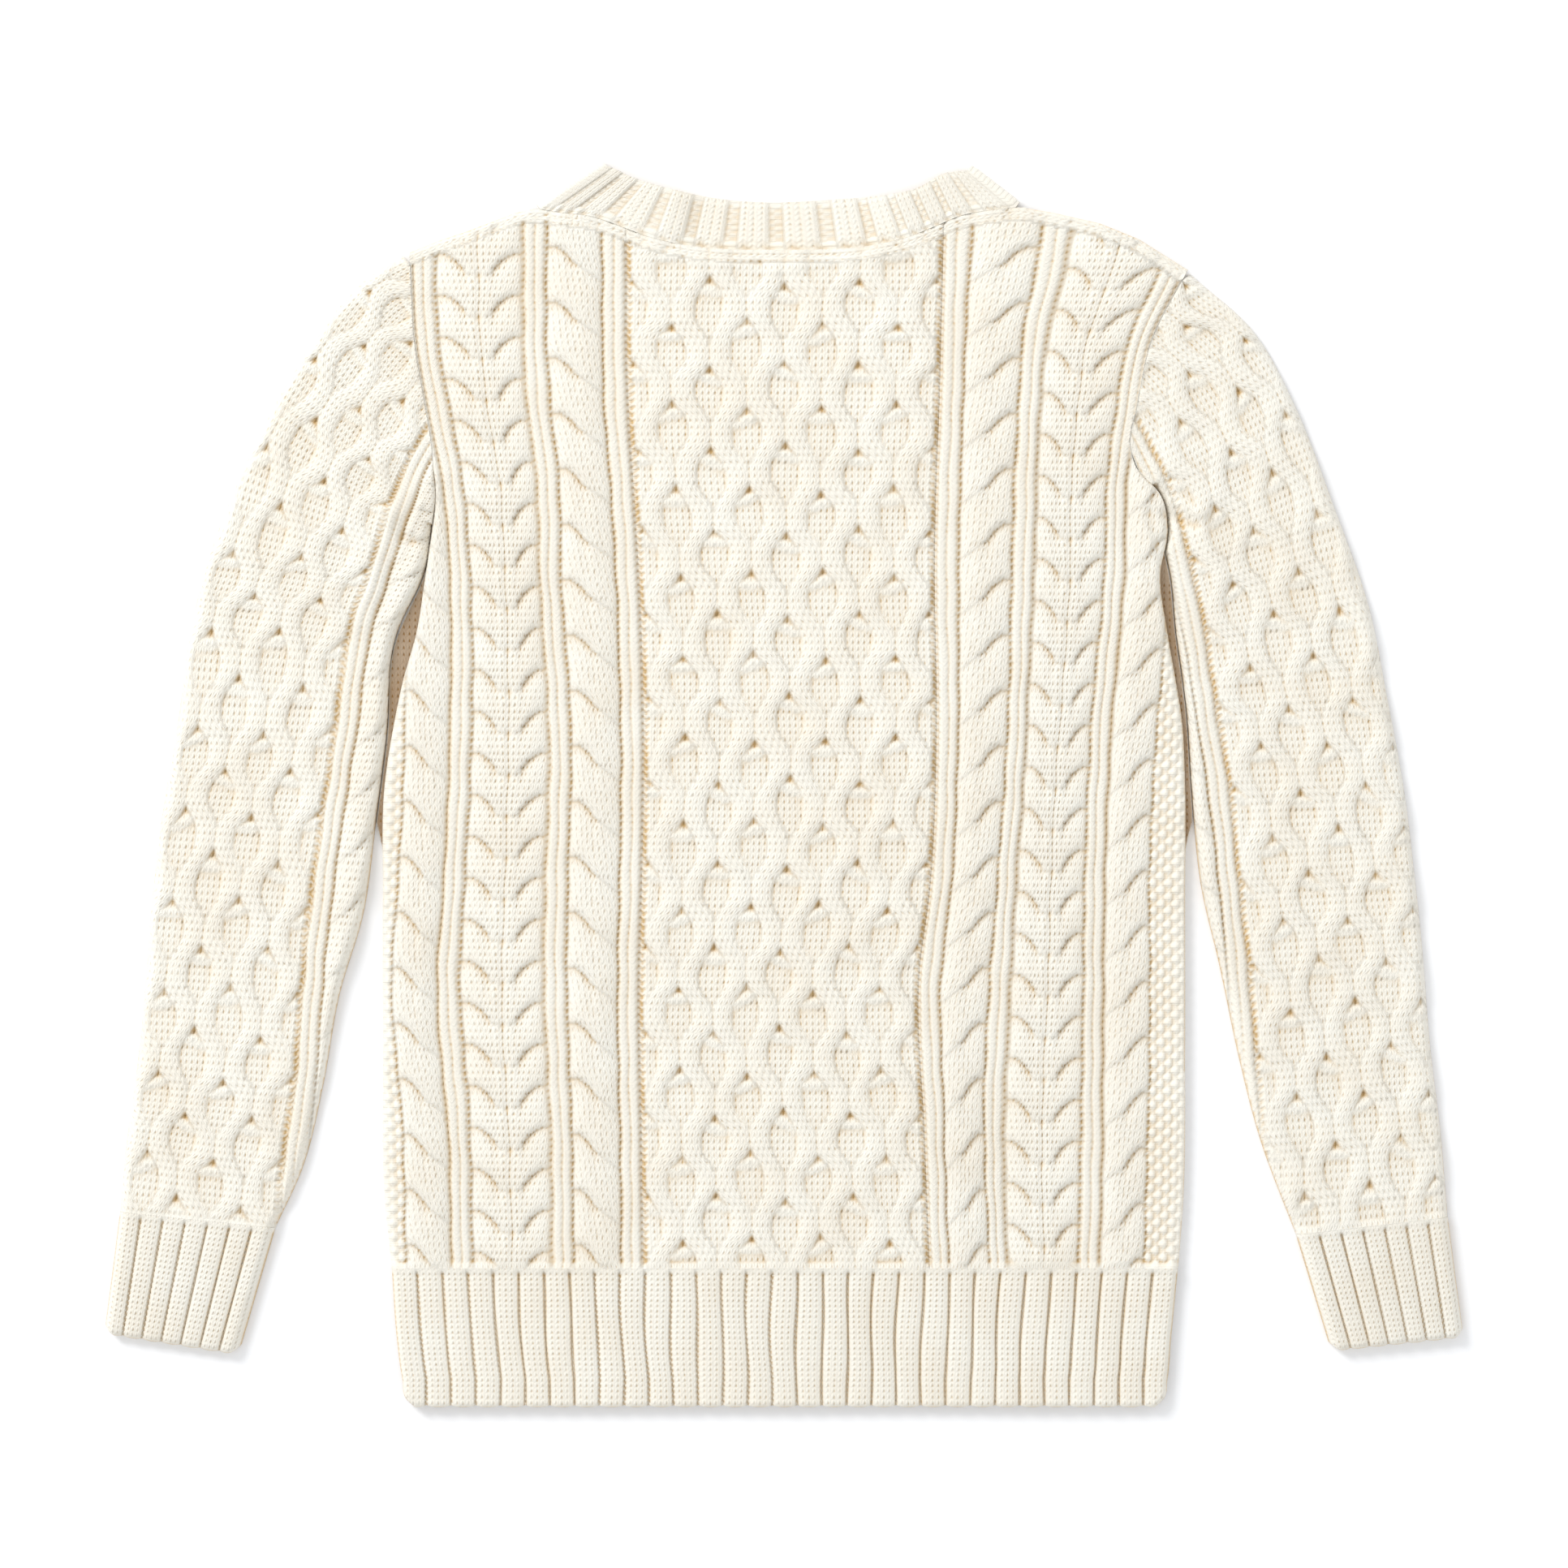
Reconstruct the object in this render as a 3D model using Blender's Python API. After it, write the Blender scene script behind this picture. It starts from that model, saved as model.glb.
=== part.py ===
"""Fisherman sweater in Aran cable knit, laid flat face down, so its back shows.

Tables are in millimetres and stitches. X runs across the garment, Y from hem to neck, Z up.
The surface it lies on is z = 0. The front lies under the back, and each sleeve is a flattened tube.
"""
import math

import bmesh
import bpy
import numpy as np
from mathutils import Vector

MM = 0.001
ROW = 3.92                      # height of one knitted row
WALE = 3.26                     # width of one stitch on the body
SLEEVE_WALE = 3.1               # width of one stitch on the sleeves
SEAM_GAP = 0.3                  # between neighbouring pieces
ARMHOLE_GAP = 0.8               # chords of the two curved edges stay clear by SEAM_GAP
LOWER_WALL = 3.6                # thickness of the plain layer that rests on the surface
INSIDE = LOWER_WALL + SEAM_GAP  # height of the upper layer's plain inside
RIM = 1.2                       # thickness of an upper layer at its very edge
RIM_WIDTH = 2.6                 # how far in from an edge the wall is full
GROUND = 2.4                    # upper wall at a purl gutter
HEM_TOP = -274.0                # where the back panel meets its welt
HEM_FOOT = -352.5
EYE_LINE = 245.9                # height on the back of one course of honeycomb eyes
FIRST_ROW, LAST_ROW = -140, 24  # rows of the back, counted from EYE_LINE
SHEET_STEP = 2                  # rows between two modelled courses
RIB_STEP = 12                   # the same where a rib or moss runs straight
UNDER_INSET = 1.2               # the lower layer stands back this far from the upper one's edge
FRONT_MARGIN = 6.0              # the front's corners are cut square within this distance
HALVINGS = 12                   # steps of a search for an edge
NARROWEST = 0.4                 # most of a narrow section's width that one rim takes
PAST_RIM = 1.6                  # the first inner course lies this many rim widths from an edge
MERGE = 0.02 * MM

# Sides of the back and front panels: armhole above the underarm, side seam below it.
BODY_SIDES_FIELDS = ("y", "left", "right")
BODY_SIDES = [
    (-275, -222, 223), (-235, -226, 226), (-150, -227, 227), (-61, -227, 227), (0, -226, 227),
    (38, -220, 225), (57, -216, 222), (86, -208, 217), (118, -203, 213), (146, -199, 217),
    (166, -197, 211), (176, -198, 201), (190, -199, 196), (215, -203, 200), (251, -209, 208),
    (288, -211, 227), (304, -212, 236),
]

# Centre lines of the six 2-wale ribs, which wander a little on the laid garment.
RIB_LINES_FIELDS = ("y", "rib1_left", "rib2_left", "rib3_left", "rib3_right", "rib2_right", "rib1_right")
RIB_LINES = [
    (-275, -182, -125, -86, 89, 121, 172), (-199, -184, -126, -87, 86, 118, 174),
    (-107, -190, -129, -88, 83, 123, 175), (-61, -187, -129, -87, 89, 126, 175),
    (31, -183, -127, -86, 93, 132, 179), (123, -183, -133, -89, 92, 136, 187),
    (169, -187, -134, -92, 93, 137, 188), (215, -196, -139, -95, 95, 139, 194),
    (251, -202, -141, -96, 96, 142, 201), (288, -204, -141, -96, 97, 150, 219),
    (332, -205, -141, -97, 98, 158, 236),
]
RIB_WALES = (-58, -39.5, -27, 27, 39.5, 58)

# Shoulder line from each armhole to the neck.
SHOULDER_LEFT = [(-213, 300), (-196, 307), (-178, 313), (-152, 323), (-142, 325)]
SHOULDER_RIGHT = [(136, 326), (153, 323), (179, 317), (201, 308), (228, 291), (240, 284)]

# Neckband sections: where it is sewn on, and its free edge.
NECKBAND_FIELDS = ("seam_x", "seam_y", "edge_x", "edge_y")
NECK_BACK = [
    (-138, 325, -101, 350), (-127, 323, -94, 347), (-106, 320, -83, 342), (-72, 308, -62, 336),
    (-41, 303, -36, 331), (-4, 302, -5, 329), (37, 303, 32, 331), (66, 308, 57, 333),
    (85, 315, 75, 337), (103, 322, 90, 345), (131, 326, 104, 347),
]
NECK_FRONT = [
    (131, 326, 104, 347), (126, 309, 101, 333), (112, 290, 89, 313), (85, 277, 66, 302),
    (43, 268, 34, 294), (-4, 266, -4, 291), (-49, 268, -39, 293), (-90, 278, -70, 298),
    (-120, 293, -90, 311), (-132, 309, -100, 334), (-138, 325, -101, 350),
]
NECK_RIBS = 14
NECK_WALL = 5.2                 # the band is knitted double and folded
NECK_RELIEF = 1.7
NECK_PROFILE = ((0.0, 0), (0.16, 0), (0.32, 1), (0.84, 1))   # gutter, then rib, as shares of one rib's pitch
NECK_RING = ((0, 0), (0, 0.72), (0.1, 1), (0.86, 1), (1, 0.6), (0.97, 0))   # share of width, of thickness
EAR_LEFT, EAR_RIGHT = (-0.56, 0.83), (0.62, 0.78)            # way out of each fold
EAR_DEGREES = (50, 90, 130)
FRONT_STATIONS = 14
NECK_DROP_FROM, NECK_DROP_TO = 72.0, 45.0   # between these the back of the band settles to the surface

# Sleeve sections, each along one knitted course, from its outer fold to its inner edge.
# wale is the stitch count at the outer fold, from the outermost line of honeycomb eyes.
SLEEVE_FIELDS = ("course", "outer_x", "outer_y", "inner_x", "inner_y", "wale")
LEFT_SLEEVE = [
    (132, -216, 299, -207, 289, -2.5), (124.5, -236, 287, -204, 242, -2.5),
    (111.5, -270, 246, -192, 164, -2.5), (99.5, -300, 192, -196, 144, -2.4),
    (87.5, -324, 134, -205, 116, -4.4), (75.5, -336, 88, -221, 79, -4.0),
    (63.5, -344, 31, -225, 28, -4.2), (51.5, -352, -15, -231, -20, -4.4),
    (39.5, -358, -65, -238, -72, -4.1), (27.5, -362, -115, -252, -120, -3.9),
    (15.5, -367, -164, -261, -170, -4.2), (3.5, -373, -207, -273, -218, -4.2),
    (-5, -376, -242, -288, -251, -4.2),
]
RIGHT_SLEEVE = [
    (124.4, 232, 288, 222, 278, -2.4), (111.5, 267, 255, 195, 213, -2.4),
    (99.5, 291, 211, 207, 164, -2.4), (87.5, 311, 159, 218, 122, -3.5),
    (75.5, 331, 102, 222, 86, -5.6), (63.5, 342, 48, 228, 41, -6.5),
    (51.5, 351, -1, 231, -5, -7.1), (39.5, 357, -49, 236, -56, -7.3),
    (27.5, 362, -97, 247, -104, -7.2), (15.5, 366, -147, 258, -156, -7.3),
    (3.5, 372, -198, 271, -205, -7.7), (-7.6, 376, -245, 290, -255, -8.0),
]
UNDERARM_COURSE = 108.0         # the sleeve is open to the body above this course
SLOT_PAST, SLOT_SHORT = 2, 3    # courses by which the slot passes the wrist and stops short of the cap
SLOT_STATIONS = 24
CUFF_SLOT = (-0.05, 1.05)       # shares of the cuff's length between which its slot runs

# Ribbed welt and cuffs: outline sections, and how many ribs they have.
WELT_SIDES = [(-352.5, -209, 210), (-349, -213, 214), (-337, -216, 217), (-315, -219, 219), (-274, -222, 223)]
WELT_RIBS = 31
WELT_GROUND = 2.2               # wall in a gutter between two ribs
WELT_RELIEF = 2.3               # how much higher a rib stands
WELT_MIDDLE = -330.0            # height at which the welt's sides bend in
RIB_PROFILE = ((0, 0), (0.25, 1), (0.75, 1))   # share of one rib's pitch, height from gutter to crest
CUFF_RIBS = 7
LEFT_CUFF = [(-5, -376, -242, -288, -251), (-30, -385, -311, -309, -323)]
RIGHT_CUFF = [(-7.6, 376, -245, 290, -255), (-30, 385, -313, 310, -321)]

# Soft folds round the underarms: a ridge (or, below zero, a trough) between two points.
FOLD_FIELDS = ("x0", "y0", "x1", "y1", "width", "height")
FOLDS = [
    (-201, 172, -224, 152, 7, 2.0), (-224, 152, -240, 92, 7, 1.6), (-212, 140, -226, 100, 6, -1.2),
    (-214, 186, -250, 178, 9, 1.2), (214, 178, 240, 160, 8, 1.8), (232, 150, 246, 118, 7, 1.6),
    (204, 160, 210, 132, 5, 1.5), (226, 190, 262, 186, 9, 1.0),
]


def curve(rows, fields, key, column):
    """Smooth function through one column of a table, with slopes taken from the neighbouring rows."""
    data = np.array(sorted((row[fields.index(key)], row[fields.index(column)]) for row in rows), dtype=float)
    knots, values = data[:, 0], data[:, 1]
    slopes = np.gradient(values, knots)

    def at(position):
        position = min(max(position, knots[0]), knots[-1])
        i = min(int(np.searchsorted(knots, position, side="right")) - 1, len(knots) - 2)
        span = knots[i + 1] - knots[i]
        t = (position - knots[i]) / span
        return ((2 * t**3 - 3 * t**2 + 1) * values[i] + (t**3 - 2 * t**2 + t) * span * slopes[i]
                + (3 * t**2 - 2 * t**3) * values[i + 1] + (t**3 - t**2) * span * slopes[i + 1])
    return at


def dome(distance, half_width):
    """Round section of a strand: 1 on its centre line, 0 at its half width."""
    return math.sqrt(max(0.0, 1.0 - (distance / half_width) ** 2))


def step(value, start, end):
    """Smooth step from 0 at start to 1 at end."""
    t = min(max((value - start) / (end - start), 0.0), 1.0)
    return t * t * (3 - 2 * t)


def honeycomb(wale, row):
    """Honeycomb on 12 stitches and 12 rows: two raised strands wave round each sunken eye."""
    across = abs((wale + 6) % 12 - 6)
    swing = math.cos(2 * math.pi * row / 12)
    strand = 3 + 1.5 * (1.2 * swing - 0.2 * swing**3)
    floor = 0.9 + 0.5 * dome(across if swing > 0 else 6 - across, 3.2)
    return max(floor, 3.8 * dome(across - strand, 2.1))


def rope(offset, row, half_width, lean):
    """Rope cable: lobes 8 rows long that cross over, leaning to one side."""
    phase = (row + lean * offset) / 8 % 1
    return 3.6 * dome(offset, half_width) ** 0.6 * (0.45 + 0.55 * math.sin(math.pi * phase) ** 0.7)


def horseshoe(offset, row, half_width):
    """Horseshoe cable: chevrons every 6 rows, whose arms rise outward from the centre."""
    phase = (row - abs(offset)) / 6 % 1
    middle = 1 - 0.35 * dome(offset, 0.9)
    return 3.5 * dome(offset, half_width) ** 0.6 * middle * (0.5 + 0.5 * math.sin(math.pi * phase) ** 0.7)


def two_wale_rib(offset):
    """A rib of two knit wales with a fine line between them."""
    return 1.7 * dome(offset, RIB_HALF) ** 0.5 - 0.4 * dome(offset, 0.5)


ROPE2_AT, ROPE2_HALF = 33.2, 4.2
HORSESHOE_AT, HORSESHOE_HALF = 48.8, 6.8
ROPE1_AT, ROPE1_HALF = 63.8, 3.7
MOSS_FROM = 67.8
RIB_HALF = 1.7
SLEEVE_RIB_AT, SLEEVE_ROPE_AT, SLEEVE_MOSS_FROM = 26.9, 32.6, 37.0
MOSS_HEIGHT = 1.1
HONEYCOMB_HALF = 24             # stitches from the back's middle to the end of its honeycomb
ROPE_LEAN = 0.45                # rows that a lobe's groove drops per stitch
ROPE_ROW = 7.65                 # course of a rope crossing
HORSESHOE_ROW = 2.3             # course of a chevron's point

# Columns of points across each form, in stitches from its middle.
HONEYCOMB_COLUMN = 2.0
RIB_COLUMNS = (-1.55, -1.0, 1.0, 1.55)
ROPE2_COLUMNS = (-3.9, -1.6, 1.6, 3.9)
HORSESHOE_COLUMNS = (-6.5, -3.4, 0, 3.4, 6.5)
ROPE1_COLUMNS = (-3.4, -1.3, 1.3, 3.4)
SLEEVE_RIB_COLUMNS = (-1.0, 1.0)
MOSS_COLUMN = 71.5
SLEEVE_FIRST_COLUMN, SLEEVE_LAST_COLUMN = -6, 24
SLEEVE_FIRST_ROW, SLEEVE_LAST_ROW = -8, 140


def body_relief(wale, row):
    """Height of the back's stitch pattern over its purl ground."""
    side = -1 if wale < 0 else 1
    out = abs(wale)
    if out <= HONEYCOMB_HALF:
        return honeycomb(wale - 6, row)
    if abs(out - 27) < RIB_HALF:
        return two_wale_rib(out - 27)
    if abs(out - ROPE2_AT) < ROPE2_HALF:
        return rope(out - ROPE2_AT, row - ROPE_ROW, ROPE2_HALF, -ROPE_LEAN)
    if abs(out - 39.5) < RIB_HALF:
        return two_wale_rib(out - 39.5)
    if abs(out - HORSESHOE_AT) < HORSESHOE_HALF:
        return horseshoe(out - HORSESHOE_AT, row - HORSESHOE_ROW, HORSESHOE_HALF)
    if abs(out - 58) < RIB_HALF:
        return two_wale_rib(out - 58)
    if abs(out - ROPE1_AT) < ROPE1_HALF:
        return rope(side * (wale - side * ROPE1_AT), row - ROPE_ROW, ROPE1_HALF, -ROPE_LEAN)
    return MOSS_HEIGHT if out > MOSS_FROM else 0.0


def sleeve_relief(wale, row):
    """Height of a sleeve's stitch pattern: honeycomb, then a rib and a rope at its inner side."""
    if wale <= 24:
        return honeycomb(wale, row)
    if abs(wale - SLEEVE_RIB_AT) < RIB_HALF:
        return two_wale_rib(wale - SLEEVE_RIB_AT)
    if abs(wale - SLEEVE_ROPE_AT) < ROPE1_HALF:
        return rope(wale - SLEEVE_ROPE_AT, row, ROPE1_HALF, -ROPE_LEAN)
    return MOSS_HEIGHT if wale > SLEEVE_MOSS_FROM else 0.0


def fold_height(x, y):
    """Sum of the soft folds at a point."""
    total = 0.0
    for x0, y0, x1, y1, width, height in FOLDS:
        along = Vector((x1 - x0, y1 - y0))
        t = min(max(Vector((x - x0, y - y0)).dot(along) / along.length_squared, 0), 1)
        away = math.hypot(x - x0 - t * along.x, y - y0 - t * along.y)
        total += height * math.exp(-(away / width) ** 2)
    return total


def rim(distance, full):
    """Wall thickness near an edge: thin at the edge itself, full after RIM_WIDTH."""
    t = min(max(distance / RIM_WIDTH, 0.0), 1.0)
    return RIM + (full - RIM) * math.sqrt(1 - (1 - t) ** 2)


def knit_material(name, colour, roughness):
    """Matte yarn."""
    material = bpy.data.materials.new(name)
    material.use_nodes = True
    shader = material.node_tree.nodes["Principled BSDF"]
    shader.inputs["Base Color"].default_value = (*colour, 1.0)
    shader.inputs["Roughness"].default_value = roughness
    shader.inputs["Metallic"].default_value = 0.0
    material.diffuse_color = (*colour, 1.0)
    return material


def add_piece(name, bm, material):
    """Turns a finished bmesh in millimetres into a named object."""
    bmesh.ops.scale(bm, vec=(MM, MM, MM), verts=bm.verts)
    bmesh.ops.remove_doubles(bm, verts=bm.verts, dist=MERGE)
    bmesh.ops.recalc_face_normals(bm, faces=bm.faces)
    mesh = bpy.data.meshes.new(name)
    bm.to_mesh(mesh)
    bm.free()
    mesh.shade_smooth()
    mesh.set_sharp_from_angle(angle=math.radians(50))
    piece = bpy.data.objects.new(name, mesh)
    piece.data.materials.append(material)
    garment.objects.link(piece)
    return piece


def zip_chains(bm, left, right):
    """Triangles between two neighbouring wales whose points may differ in number."""
    i = j = 0
    while i < len(left) - 1 or j < len(right) - 1:
        step_left = j == len(right) - 1 or (i < len(left) - 1 and left[i + 1][0] <= right[j + 1][0])
        if step_left:
            corners = (left[i][1], right[j][1], left[i + 1][1])
            i += 1
        else:
            corners = (left[i][1], right[j][1], right[j + 1][1])
            j += 1
        bm.faces.new(corners)


def relief_sheet(chains, floor):
    """Solid whose top runs through the chains of points and whose inside is plain at z = floor."""
    bm = bmesh.new()
    wales = [[(key, bm.verts.new(point)) for key, point in chain] for chain in chains]
    for left, right in zip(wales, wales[1:]):
        zip_chains(bm, left, right)
    bmesh.ops.remove_doubles(bm, verts=bm.verts, dist=0.02)
    border = [edge for edge in bm.edges if edge.is_boundary]
    wall = bmesh.ops.extrude_edge_only(bm, edges=border)["geom"]
    for vert in (item for item in wall if isinstance(item, bmesh.types.BMVert)):
        vert.co.z = floor
    foot = [edge for edge in bm.edges if edge.is_boundary]
    bmesh.ops.edgeloop_fill(bm, edges=foot)
    return bm


def slab(outline, low, high):
    """Flat plain layer with a given outline."""
    bm = bmesh.new()
    face = bm.faces.new([bm.verts.new((x, y, low)) for x, y in outline])
    top = bmesh.ops.extrude_face_region(bm, geom=[face])["geom"]
    bmesh.ops.translate(bm, vec=(0, 0, high - low), verts=[v for v in top if isinstance(v, bmesh.types.BMVert)])
    return bm


def cut_slot(piece, outline):
    """Parts the two layers of a flattened tube, right through both of its ends."""
    bm = slab(outline, LOWER_WALL, INSIDE)
    bmesh.ops.scale(bm, vec=(MM, MM, MM), verts=bm.verts)
    bmesh.ops.recalc_face_normals(bm, faces=bm.faces)
    mesh = bpy.data.meshes.new(piece.name + "_slot")
    bm.to_mesh(mesh)
    bm.free()
    cutter = bpy.data.objects.new(piece.name + "_slot", mesh)
    cutter.hide_render = True
    cutter.display_type = "WIRE"
    cutters.objects.link(cutter)
    boolean = piece.modifiers.new("slot", "BOOLEAN")
    boolean.operation = "DIFFERENCE"
    boolean.object = cutter


body_left = curve(BODY_SIDES, BODY_SIDES_FIELDS, "y", "left")
body_right = curve(BODY_SIDES, BODY_SIDES_FIELDS, "y", "right")
RIBS_AT = [curve(RIB_LINES, RIB_LINES_FIELDS, "y", name) for name in RIB_LINES_FIELDS[1:]]


def body_x(wale, y):
    """Place across the back of a stitch column at height y."""
    lines = [rib(y) for rib in RIBS_AT]
    if wale < RIB_WALES[0]:
        return lines[0] + (wale - RIB_WALES[0]) * WALE
    if wale > RIB_WALES[-1]:
        return lines[-1] + (wale - RIB_WALES[-1]) * WALE
    return float(np.interp(wale, RIB_WALES, lines))


def edge_wales(y):
    """Stitch counts at the back's left and right edge at height y."""
    left = RIB_WALES[0] + (body_left(y) - RIBS_AT[0](y)) / WALE
    right = RIB_WALES[-1] + (body_right(y) - RIBS_AT[-1](y)) / WALE
    return left, right


def neck_line(rows, name, samples=60):
    """Smooth line through one end of the neckband's sections."""
    keyed = [(index, *row) for index, row in enumerate(rows)]
    fields = ("index", *NECKBAND_FIELDS)
    at_x = curve(keyed, fields, "index", name + "_x")
    at_y = curve(keyed, fields, "index", name + "_y")
    last = len(rows) - 1
    return [(at_x(last * i / samples), at_y(last * i / samples)) for i in range(samples + 1)]


def top_edge(x):
    """Upper edge of the back: left shoulder, neck seam, right shoulder."""
    if x <= NECK_SEAM[0][0]:
        points = SHOULDER_LEFT
    elif x >= NECK_SEAM[-1][0]:
        points = SHOULDER_RIGHT
    else:
        points = NECK_SEAM
    return float(np.interp(x, [p[0] for p in points], [p[1] for p in points])) - 2 * SEAM_GAP


NECK_SEAM = neck_line(NECK_BACK, "seam")


def body_chain(wale, rows, on_left_edge=False, on_right_edge=False):
    """One stitch column of the back from its welt to its upper edge."""
    inset = RIM_WIDTH / WALE
    bottom = HEM_TOP + SEAM_GAP
    top = bottom
    for _ in range(HALVINGS):
        left, right = edge_wales(top)
        held = min(max(wale, left + inset), right - inset)
        held = left if on_left_edge else right if on_right_edge else held
        top = 0.5 * top + 0.5 * top_edge(body_x(held, top))
    heights = [bottom, bottom + RIM_WIDTH]
    heights += [y for y in rows if bottom + PAST_RIM * RIM_WIDTH < y < top - PAST_RIM * RIM_WIDTH]
    heights += [top - RIM_WIDTH, top]
    chain = []
    for y in heights:
        left, right = edge_wales(y)
        held = min(max(wale, left + inset), right - inset)
        held = left if on_left_edge else right if on_right_edge else held
        x = body_x(held, y)
        away = min((held - left) * WALE, (right - held) * WALE, top - y, y - bottom)
        full = GROUND + body_relief(held, (y - EYE_LINE) / ROW) + fold_height(x, y)
        chain.append((y, (x, y, INSIDE + rim(away, full))))
    return chain


def build_back_panel():
    """Back of the body with its cables raised over a plain inside."""
    fine = [EYE_LINE + ROW * n for n in range(FIRST_ROW, LAST_ROW, SHEET_STEP)]
    coarse = fine[::RIB_STEP]
    columns = [(wale, fine) for wale in np.arange(-HONEYCOMB_HALF, HONEYCOMB_HALF + 1, HONEYCOMB_COLUMN)]
    for rib in RIB_WALES:
        columns += [(rib + offset, coarse) for offset in RIB_COLUMNS]
    for side in (-1, 1):
        columns += [(side * (ROPE2_AT + offset), fine) for offset in ROPE2_COLUMNS]
        columns += [(side * (HORSESHOE_AT + offset), fine) for offset in HORSESHOE_COLUMNS]
        columns += [(side * (ROPE1_AT + offset), fine) for offset in ROPE1_COLUMNS]
        columns += [(side * MOSS_COLUMN, fine)]
    columns.sort(key=lambda column: column[0])
    chains = [body_chain(columns[0][0], fine, on_left_edge=True)]
    chains += [body_chain(wale, rows) for wale, rows in columns]
    chains += [body_chain(columns[-1][0], fine, on_right_edge=True)]
    return add_piece("back_panel", relief_sheet(chains, INSIDE), cream)


def build_front_panel():
    """Front of the body, plain and flat under the back, with its deeper neckline."""
    bottom = HEM_TOP + SEAM_GAP
    steps = [low[0] + (high[0] - low[0]) * k / 2 for low, high in zip(BODY_SIDES, BODY_SIDES[1:]) for k in range(2)]
    heights = [bottom] + [y for y in steps if y > bottom + FRONT_MARGIN]
    right = [(body_right(y) - UNDER_INSET, y) for y in heights if y < SHOULDER_RIGHT[-2][1] - FRONT_MARGIN]
    left = [(body_left(y) + UNDER_INSET, y) for y in heights if y < SHOULDER_LEFT[0][1] - FRONT_MARGIN]
    shoulder_right = [(x - UNDER_INSET, top_edge(x) - UNDER_INSET) for x, _ in SHOULDER_RIGHT[1:-1]][::-1]
    shoulder_left = [(x + UNDER_INSET, top_edge(x) - UNDER_INSET) for x, _ in SHOULDER_LEFT[:-1]][::-1]
    neckline = []
    seam = neck_line(NECK_FRONT, "seam", 2 * FRONT_STATIONS)
    for before, point, after in zip(seam, seam[1:], seam[2:]):
        along = Vector((after[0] - before[0], after[1] - before[1])).normalized()
        outward = Vector((-along.y, along.x)) * 2 * SEAM_GAP
        neckline.append((point[0] + outward.x, point[1] + outward.y))
    outline = right + shoulder_right + neckline + shoulder_left + left[::-1]
    return add_piece("front_panel", slab(outline, 0, LOWER_WALL), cream)


def rib_profile(ribs):
    """Positions across a 4 and 1 rib from 0 to 1, each with its height from gutter to crest."""
    points = []
    for index in range(ribs):
        points += [((index + share) / ribs, height) for share, height in RIB_PROFILE]
    return points + [(1.0, 0.0)]


def build_welts():
    """Ribbed welt of the back over the plain one of the front."""
    left_at = curve(WELT_SIDES, BODY_SIDES_FIELDS, "y", "left")
    right_at = curve(WELT_SIDES, BODY_SIDES_FIELDS, "y", "right")
    bottom, top = HEM_FOOT, HEM_TOP - SEAM_GAP
    heights = [bottom, bottom + RIM_WIDTH, WELT_MIDDLE, top - RIM_WIDTH, top]
    chains = []
    for across, raised in rib_profile(WELT_RIBS):
        chain = []
        for y in heights:
            left, right = left_at(y), right_at(y)
            x = left + (right - left) * across
            away = min(x - left, right - x, y - bottom, top - y)
            full = WELT_GROUND + WELT_RELIEF * raised
            chain.append((y, (x, y, INSIDE + rim(away, full))))
        chains.append(chain)
    add_piece("back_hem_rib", relief_sheet(chains, INSIDE), cream)
    outline = [(right_at(y) - UNDER_INSET, y) for y in heights]
    outline += [(left_at(y) + UNDER_INSET, y) for y in heights[::-1]]
    add_piece("front_hem_rib", slab(outline, 0, LOWER_WALL), cream)


def sleeve_frame(rows):
    """Functions of the course for a sleeve's outer fold, its inner edge and its stitch count."""
    names = ("outer_x", "outer_y", "inner_x", "inner_y", "wale")
    return [curve(rows, SLEEVE_FIELDS, "course", name) for name in names]


def sleeve_section(frame, course, side):
    """Outer point, direction across, and first and last stitch of one course."""
    outer_x, outer_y, inner_x, inner_y, wale = [at(course) for at in frame]
    outer = Vector((outer_x, outer_y))
    across = Vector((inner_x, inner_y)) - outer
    length = across.length
    across.normalize()
    near, far = 0.0, length

    def clear(distance):
        point = outer + across * distance
        if side < 0:
            return point.x < body_left(point.y) - ARMHOLE_GAP
        return point.x > body_right(point.y) + ARMHOLE_GAP

    if not clear(far):
        for _ in range(2 * HALVINGS):
            middle = (near + far) / 2
            near, far = (middle, far) if clear(middle) else (near, middle)
        length = near
    return outer, across, wale, wale + length / SLEEVE_WALE


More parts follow.
